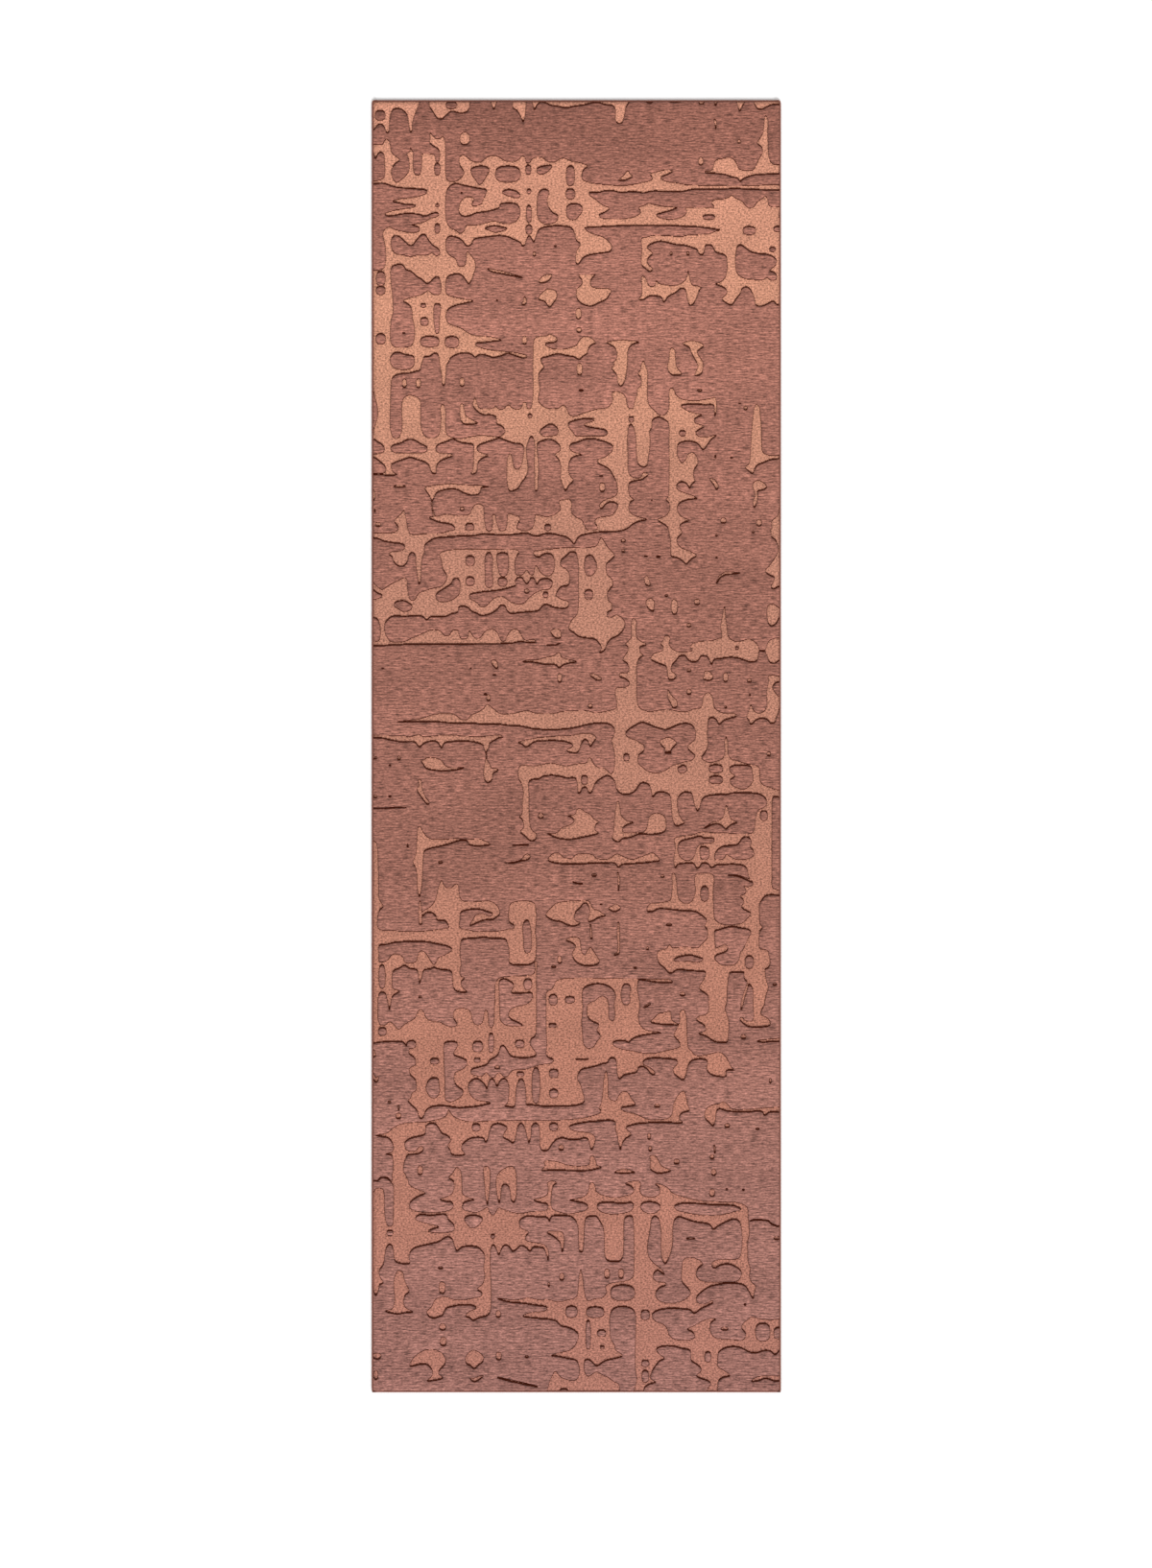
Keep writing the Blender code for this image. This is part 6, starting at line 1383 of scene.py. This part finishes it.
def plainYarnMaterial(name, colour, roughness, grainSize, spread=0.2):
    nodes = Nodes(name, roughness)
    value = nodes.noise((grainSize, grainSize, grainSize), 2.0, 0.6)
    shades = [tuple(channel * factor for channel in colour) for factor in (1 - spread, 1 + spread)]
    nodes.bump(value, 0.4, 0.0004)
    return nodes.finish(nodes.ramp(value, [(0.3, shades[0]), (0.7, shades[1])]))


chenille = chenilleMaterial()
groundCloth = groundMaterial()
# dark outline yarn colour, also used for the painted shade that widens the outline on the pile's head-side
# edges
outlineYarnAndShade = plainYarnMaterial("outlineYarnAndShade", (0.056, 0.009, 0.003), 0.9, 600)
overlockYarn = plainYarnMaterial("overlockYarn", (0.250, 0.098, 0.072), 0.85, 900)
sewingThread = plainYarnMaterial("sewingThread", (0.160, 0.060, 0.045), 0.6, 1500)
felt = plainYarnMaterial("felt", (0.560, 0.480, 0.390), 0.97, 240, 0.12)
latexCoat = plainYarnMaterial("latexCoat", (0.700, 0.660, 0.580), 0.6, 120, 0.05)
labelSatin = plainYarnMaterial("labelSatin", (0.820, 0.800, 0.760), 0.45, 800, 0.04)


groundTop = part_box("ground_weave")[1].z
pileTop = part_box("pile_field")[1].z
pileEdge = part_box("pile_field")[0].x - boxLow.x
sunk = 0.0002  # how far raised yarn reaches into the ground cloth
crown = {"reach": 0.0020, "shoulder": 0.0010, "drop": 0.0001, "unevenness": 0.00010, "waveSize": 0.021}


def pileDepthAt(x, y):
    own = sampleAt(depth, x, y) - sampleAt(outlineAndShadeWidth, x, y) / 2 + outline["under"]
    return np.minimum(own, depthInRug(x, y, pileEdge))


def pileHeightAt(x, y):
    rise = np.clip(pileDepthAt(x, y) / crown["reach"], 0, 1)
    shoulder = groundTop + crown["shoulder"]
    rounded = shoulder + (pileTop - shoulder) * (rise * (2 - rise))
    return rounded - crown["drop"] + crown["unevenness"] * waves(x, y, 3, crown["waveSize"])


islands = sorted(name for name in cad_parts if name.startswith("pile_island"))
pileSettings = {"fineStep": 0.0020, "rimClear": 0.0005, "fineReach": 0.0026, "coarseStep": 0.012}
plateau(
    "chenille_pile", pileDepthAt, pileHeightAt, groundTop - sunk, chenille,
    ["pile_field", *islands], pileSettings,
)


sheetEdge = {"fullness": 0.55, "rise": 0.45, "waveSize": 0.03}


def sheetSlab(name, node, step, bulge, material):
    # a closed sheet with a rounded edge, the size of the CAD node it stands for
    low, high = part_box(node)
    thick = high.z - low.z
    countX, countY = int((high.x - low.x) / step), int((high.y - low.y) / step)
    u, v = np.meshgrid(np.linspace(0, 1, countX + 1), np.linspace(0, 1, countY + 1))
    x = low.x + (high.x - low.x) * u
    y = low.y + (high.y - low.y) * v
    edge = np.minimum(np.minimum(x - low.x, high.x - x), np.minimum(y - low.y, high.y - y))
    fullness = sheetEdge["fullness"] + sheetEdge["rise"] * np.clip(edge / step, 0, 1)
    middle = (low.z + high.z) / 2
    upper = middle + thick / 2 * fullness - bulge * (1 + waves(x, y, 1, sheetEdge["waveSize"])) / 2
    lower = middle - thick / 2 * fullness + bulge * (1 + waves(x, y, 2, sheetEdge["waveSize"])) / 2
    across = countX + 1
    count = u.size
    points = np.vstack([
        np.stack([x.ravel(), y.ravel(), upper.ravel()], 1),
        np.stack([x.ravel(), y.ravel(), lower.ravel()], 1),
    ])
    first = (np.arange(countY)[:, None] * across + np.arange(countX)[None, :]).ravel()
    upperFaces = np.stack([first, first + 1, first + across + 1, first + across], 1)
    rim = np.concatenate([
        np.arange(countX), countX + across * np.arange(countY),
        across * countY + np.arange(countX, 0, -1), across * np.arange(countY, 0, -1),
    ])
    following = np.roll(rim, -1)
    sides = np.stack([rim, rim + count, following + count, following], 1)
    faces = np.vstack([upperFaces, upperFaces[:, ::-1] + count, sides])
    return addPiece(name, points, faces, material, [node])


groundSheet = sheetSlab("ground_cloth", "ground_weave", 0.010, 0.0001, groundCloth)


floatSettings = {
    "pick": 0.0015, "step": 0.0005, "shortest": 0.0008, "upright": 0.90, "halfWidth": 0.52,
    "base": 0.0010, "height": 0.0005, "heightShare": 0.4, "longRun": 0.006, "longLift": 0.0002,
    "endInset": 0.0003, "endShare": 0.2, "topWidth": 0.6,
}


# the outline floats draw both the real dark outline yarn and the painted shade band beside the pile's
# head-side edges
def outlineAndShadeFloats():
    pick, step = floatSettings["pick"], floatSettings["step"]
    x = np.arange(boxLow.x + pileEdge, boxHigh.x - pileEdge, step)
    lines = np.arange(boxLow.y + pileEdge + pick / 2, boxHigh.y - pileEdge, pick)
    starts, stops, places = [], [], []
    for number, line in enumerate(lines):
        y = np.full_like(x, line)
        away = np.abs(sampleAt(depth, x, y))
        width = sampleAt(outlineAndShadeWidth, x, y)
        upright = np.abs(sampleAt(towardsPileX, x, y)) > floatSettings["upright"]
        dark = away < width / 2
        if number % 2:
            dark &= ~upright
        change = np.diff(np.concatenate([[0], dark.astype(int), [0]]))
        begin, end = np.nonzero(change == 1)[0], np.nonzero(change == -1)[0]
        long = (end - begin) * step >= floatSettings["shortest"]
        starts.append(x[begin[long]] - step / 2)
        stops.append(x[end[long] - 1] + step / 2)
        places.append(np.full(long.sum(), line))
    x0, x1, y = np.concatenate(starts), np.concatenate(stops), np.concatenate(places)
    half, foot = pick * floatSettings["halfWidth"], groundTop - sunk
    lift = np.where(x1 - x0 > floatSettings["longRun"], floatSettings["longLift"], 0.0)
    top = groundTop + floatSettings["base"] + floatSettings["height"] * floatSettings["heightShare"] + lift
    inset = np.minimum(floatSettings["endInset"], (x1 - x0) * floatSettings["endShare"])
    topHalf = half * floatSettings["topWidth"]
    corners = []
    for px, py, pz in (
        (x0, y - half, foot), (x1, y - half, foot), (x1, y + half, foot), (x0, y + half, foot),
        (x0 + inset, y - topHalf, top), (x1 - inset, y - topHalf, top),
        (x1 - inset, y + topHalf, top), (x0 + inset, y + topHalf, top),
    ):
        corners.append(np.stack([px, py, np.broadcast_to(pz, px.shape)], 1))
    points = np.stack(corners, 1).reshape(-1, 3)
    base = np.arange(len(x0))[:, None, None] * 8
    quads = np.array([[4, 5, 6, 7], [0, 1, 5, 4], [1, 2, 6, 5], [2, 3, 7, 6], [3, 0, 4, 7]])
    faces = (base + quads).reshape(-1, 4)
    floats = sorted(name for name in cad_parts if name.startswith("outline_float"))
    return addPiece("outline_yarn", points, faces, outlineYarnAndShade, floats, False)


outlineAndShadeFloats()


wrap = {"reach": 0.0024, "pitch": 0.0024, "slant": 0.0010, "ridge": 0.00035, "around": 9, "stations": 4}


def overlockRun(run, path):
    # one run of wrapped yarn: the channel's outer face, ridged once for each wrap
    node = f"overlock_{run}"
    low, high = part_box(node)
    middle, half = (low.z + high.z) / 2, (high.z - low.z) / 2
    lengths = np.concatenate([[0], np.cumsum(np.linalg.norm(np.diff(path, axis=0), axis=1))])
    total = lengths[-1]
    count = int(total / wrap["pitch"] * wrap["stations"])
    stations = np.linspace(0, total, count + 1)
    cx, cy = np.interp(stations, lengths, path[:, 0]), np.interp(stations, lengths, path[:, 1])
    tx, ty = np.gradient(cx), np.gradient(cy)
    size = np.hypot(tx, ty)
    inX, inY = -ty / size, tx / size
    turn = np.linspace(-math.pi / 2, math.pi / 2, wrap["around"])
    rings = []
    for angle in turn:
        phase = stations + wrap["slant"] * angle
        ridge = wrap["ridge"] * (np.abs(np.sin(math.pi * phase / wrap["pitch"])) - 1)
        inset = wrap["reach"] * (1 - math.cos(angle)) - ridge
        z = middle + (half + ridge) * math.sin(angle)
        rings.append(np.stack([cx + inX * inset, cy + inY * inset, z], 1))
    grid = np.stack(rings, 1)
    around = wrap["around"]
    first = (np.arange(count)[:, None] * around + np.arange(around - 1)[None, :]).ravel()
    faces = np.stack([first, first + around, first + around + 1, first + 1], 1)
    return addPiece(f"overlock_yarn_{run}", grid.reshape(-1, 3), faces, overlockYarn, [node])


def cornerArc(index, radius):
    sideX = 1 if index in (0, 3) else -1
    sideY = 1 if index in (0, 1) else -1
    centre = np.array([sideX * (boxHigh.x - radius), sideY * (rugLength / 2 - radius)])
    angles = np.linspace(index, index + 1, 8) * math.pi / 2
    return centre + radius * np.stack([np.cos(angles), np.sin(angles)], 1)


headRadius, footRadius = 0.007, 0.004
# each run goes anticlockwise, so that the rug lies on its left
edgeRuns = {
    "right": np.vstack([cornerArc(3, footRadius), cornerArc(0, headRadius)]),
    "left": np.vstack([cornerArc(1, headRadius), cornerArc(2, footRadius)]),
    "head": np.array([[boxHigh.x - headRadius, boxHigh.y], [boxLow.x + headRadius, boxHigh.y]]),
    "foot": np.array([[boxLow.x + footRadius, boxLow.y], [boxHigh.x - footRadius, boxLow.y]]),
}
for run, path in edgeRuns.items():
    overlockRun(run, path)
    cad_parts[f"needle_thread_{run}"].material_slots[0].material = sewingThread
for name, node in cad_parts.items():
    if name.startswith(("corner_tack", "label_seam")):
        node.material_slots[0].material = sewingThread


backing = sheetSlab("felt_backing", "backing_cloth", 0.012, 0.0002, felt)
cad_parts["latex_coat"].material_slots[0].material = latexCoat
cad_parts["care_label"].material_slots[0].material = labelSatin


floorSettings = {"reach": 40, "below": 0.0002, "darker": (0.86, 0.86, 0.86), "lighter": (0.88, 0.88, 0.88)}


def buildStage():
    mesh = bpy.data.meshes.new("floor")
    reach = floorSettings["reach"]
    corners = [(-reach, -reach, 0), (reach, -reach, 0), (reach, reach, 0), (-reach, reach, 0)]
    mesh.from_pydata(corners, [], [(0, 1, 2, 3)])
    nodes = Nodes("floor", 0.9)
    value = nodes.noise((3, 3, 3))
    shades = [(0.3, floorSettings["darker"]), (0.7, floorSettings["lighter"])]
    mesh.materials.append(nodes.finish(nodes.ramp(value, shades)))
    floor = bpy.data.objects.new("floor", mesh)
    floor.location.z = boxLow.z - floorSettings["below"]
    bpy.context.scene.collection.objects.link(floor)


def addSun(name, place, strength, spread):
    # an even light from one side, so both ends of the rug are lit alike
    light = bpy.data.lights.new(name, "SUN")
    light.energy = strength
    light.angle = spread
    lamp = bpy.data.objects.new(name, light)
    lamp.location = place
    lamp.rotation_euler = (-Vector(place)).to_track_quat("-Z", "Y").to_euler()
    bpy.context.scene.collection.objects.link(lamp)


lightSettings = {"world": 0.72, "place": (0.8, -3.4, 3.6), "strength": 2.4, "spread": 0.5}


def buildLight():
    world = bpy.data.worlds.new("studio")
    bpy.context.scene.world = world
    world.use_nodes = True
    background = world.node_tree.nodes["Background"]
    background.inputs["Color"].default_value = (1, 1, 1, 1)
    background.inputs["Strength"].default_value = lightSettings["world"]
    addSun("keyLight", lightSettings["place"], lightSettings["strength"], lightSettings["spread"])


# straight above the rug, a little nearer the foot end
cameraSettings = {"lens": 74.22, "across": -0.0006, "along": -0.0702, "height": 6.0}


def buildCamera():
    camera = bpy.data.cameras.new("camera")
    camera.sensor_fit = "VERTICAL"
    camera.sensor_height = 36
    camera.lens = cameraSettings["lens"]
    camera.dof.use_dof = False
    viewer = bpy.data.objects.new("camera", camera)
    viewer.location = (cameraSettings["across"], cameraSettings["along"], pileTop + cameraSettings["height"])
    bpy.context.scene.collection.objects.link(viewer)
    bpy.context.scene.camera = viewer


buildStage()
buildLight()
buildCamera()
bpy.context.scene.view_settings.view_transform = "Standard"
bpy.context.view_layer.update()
print("stage, light and camera set")
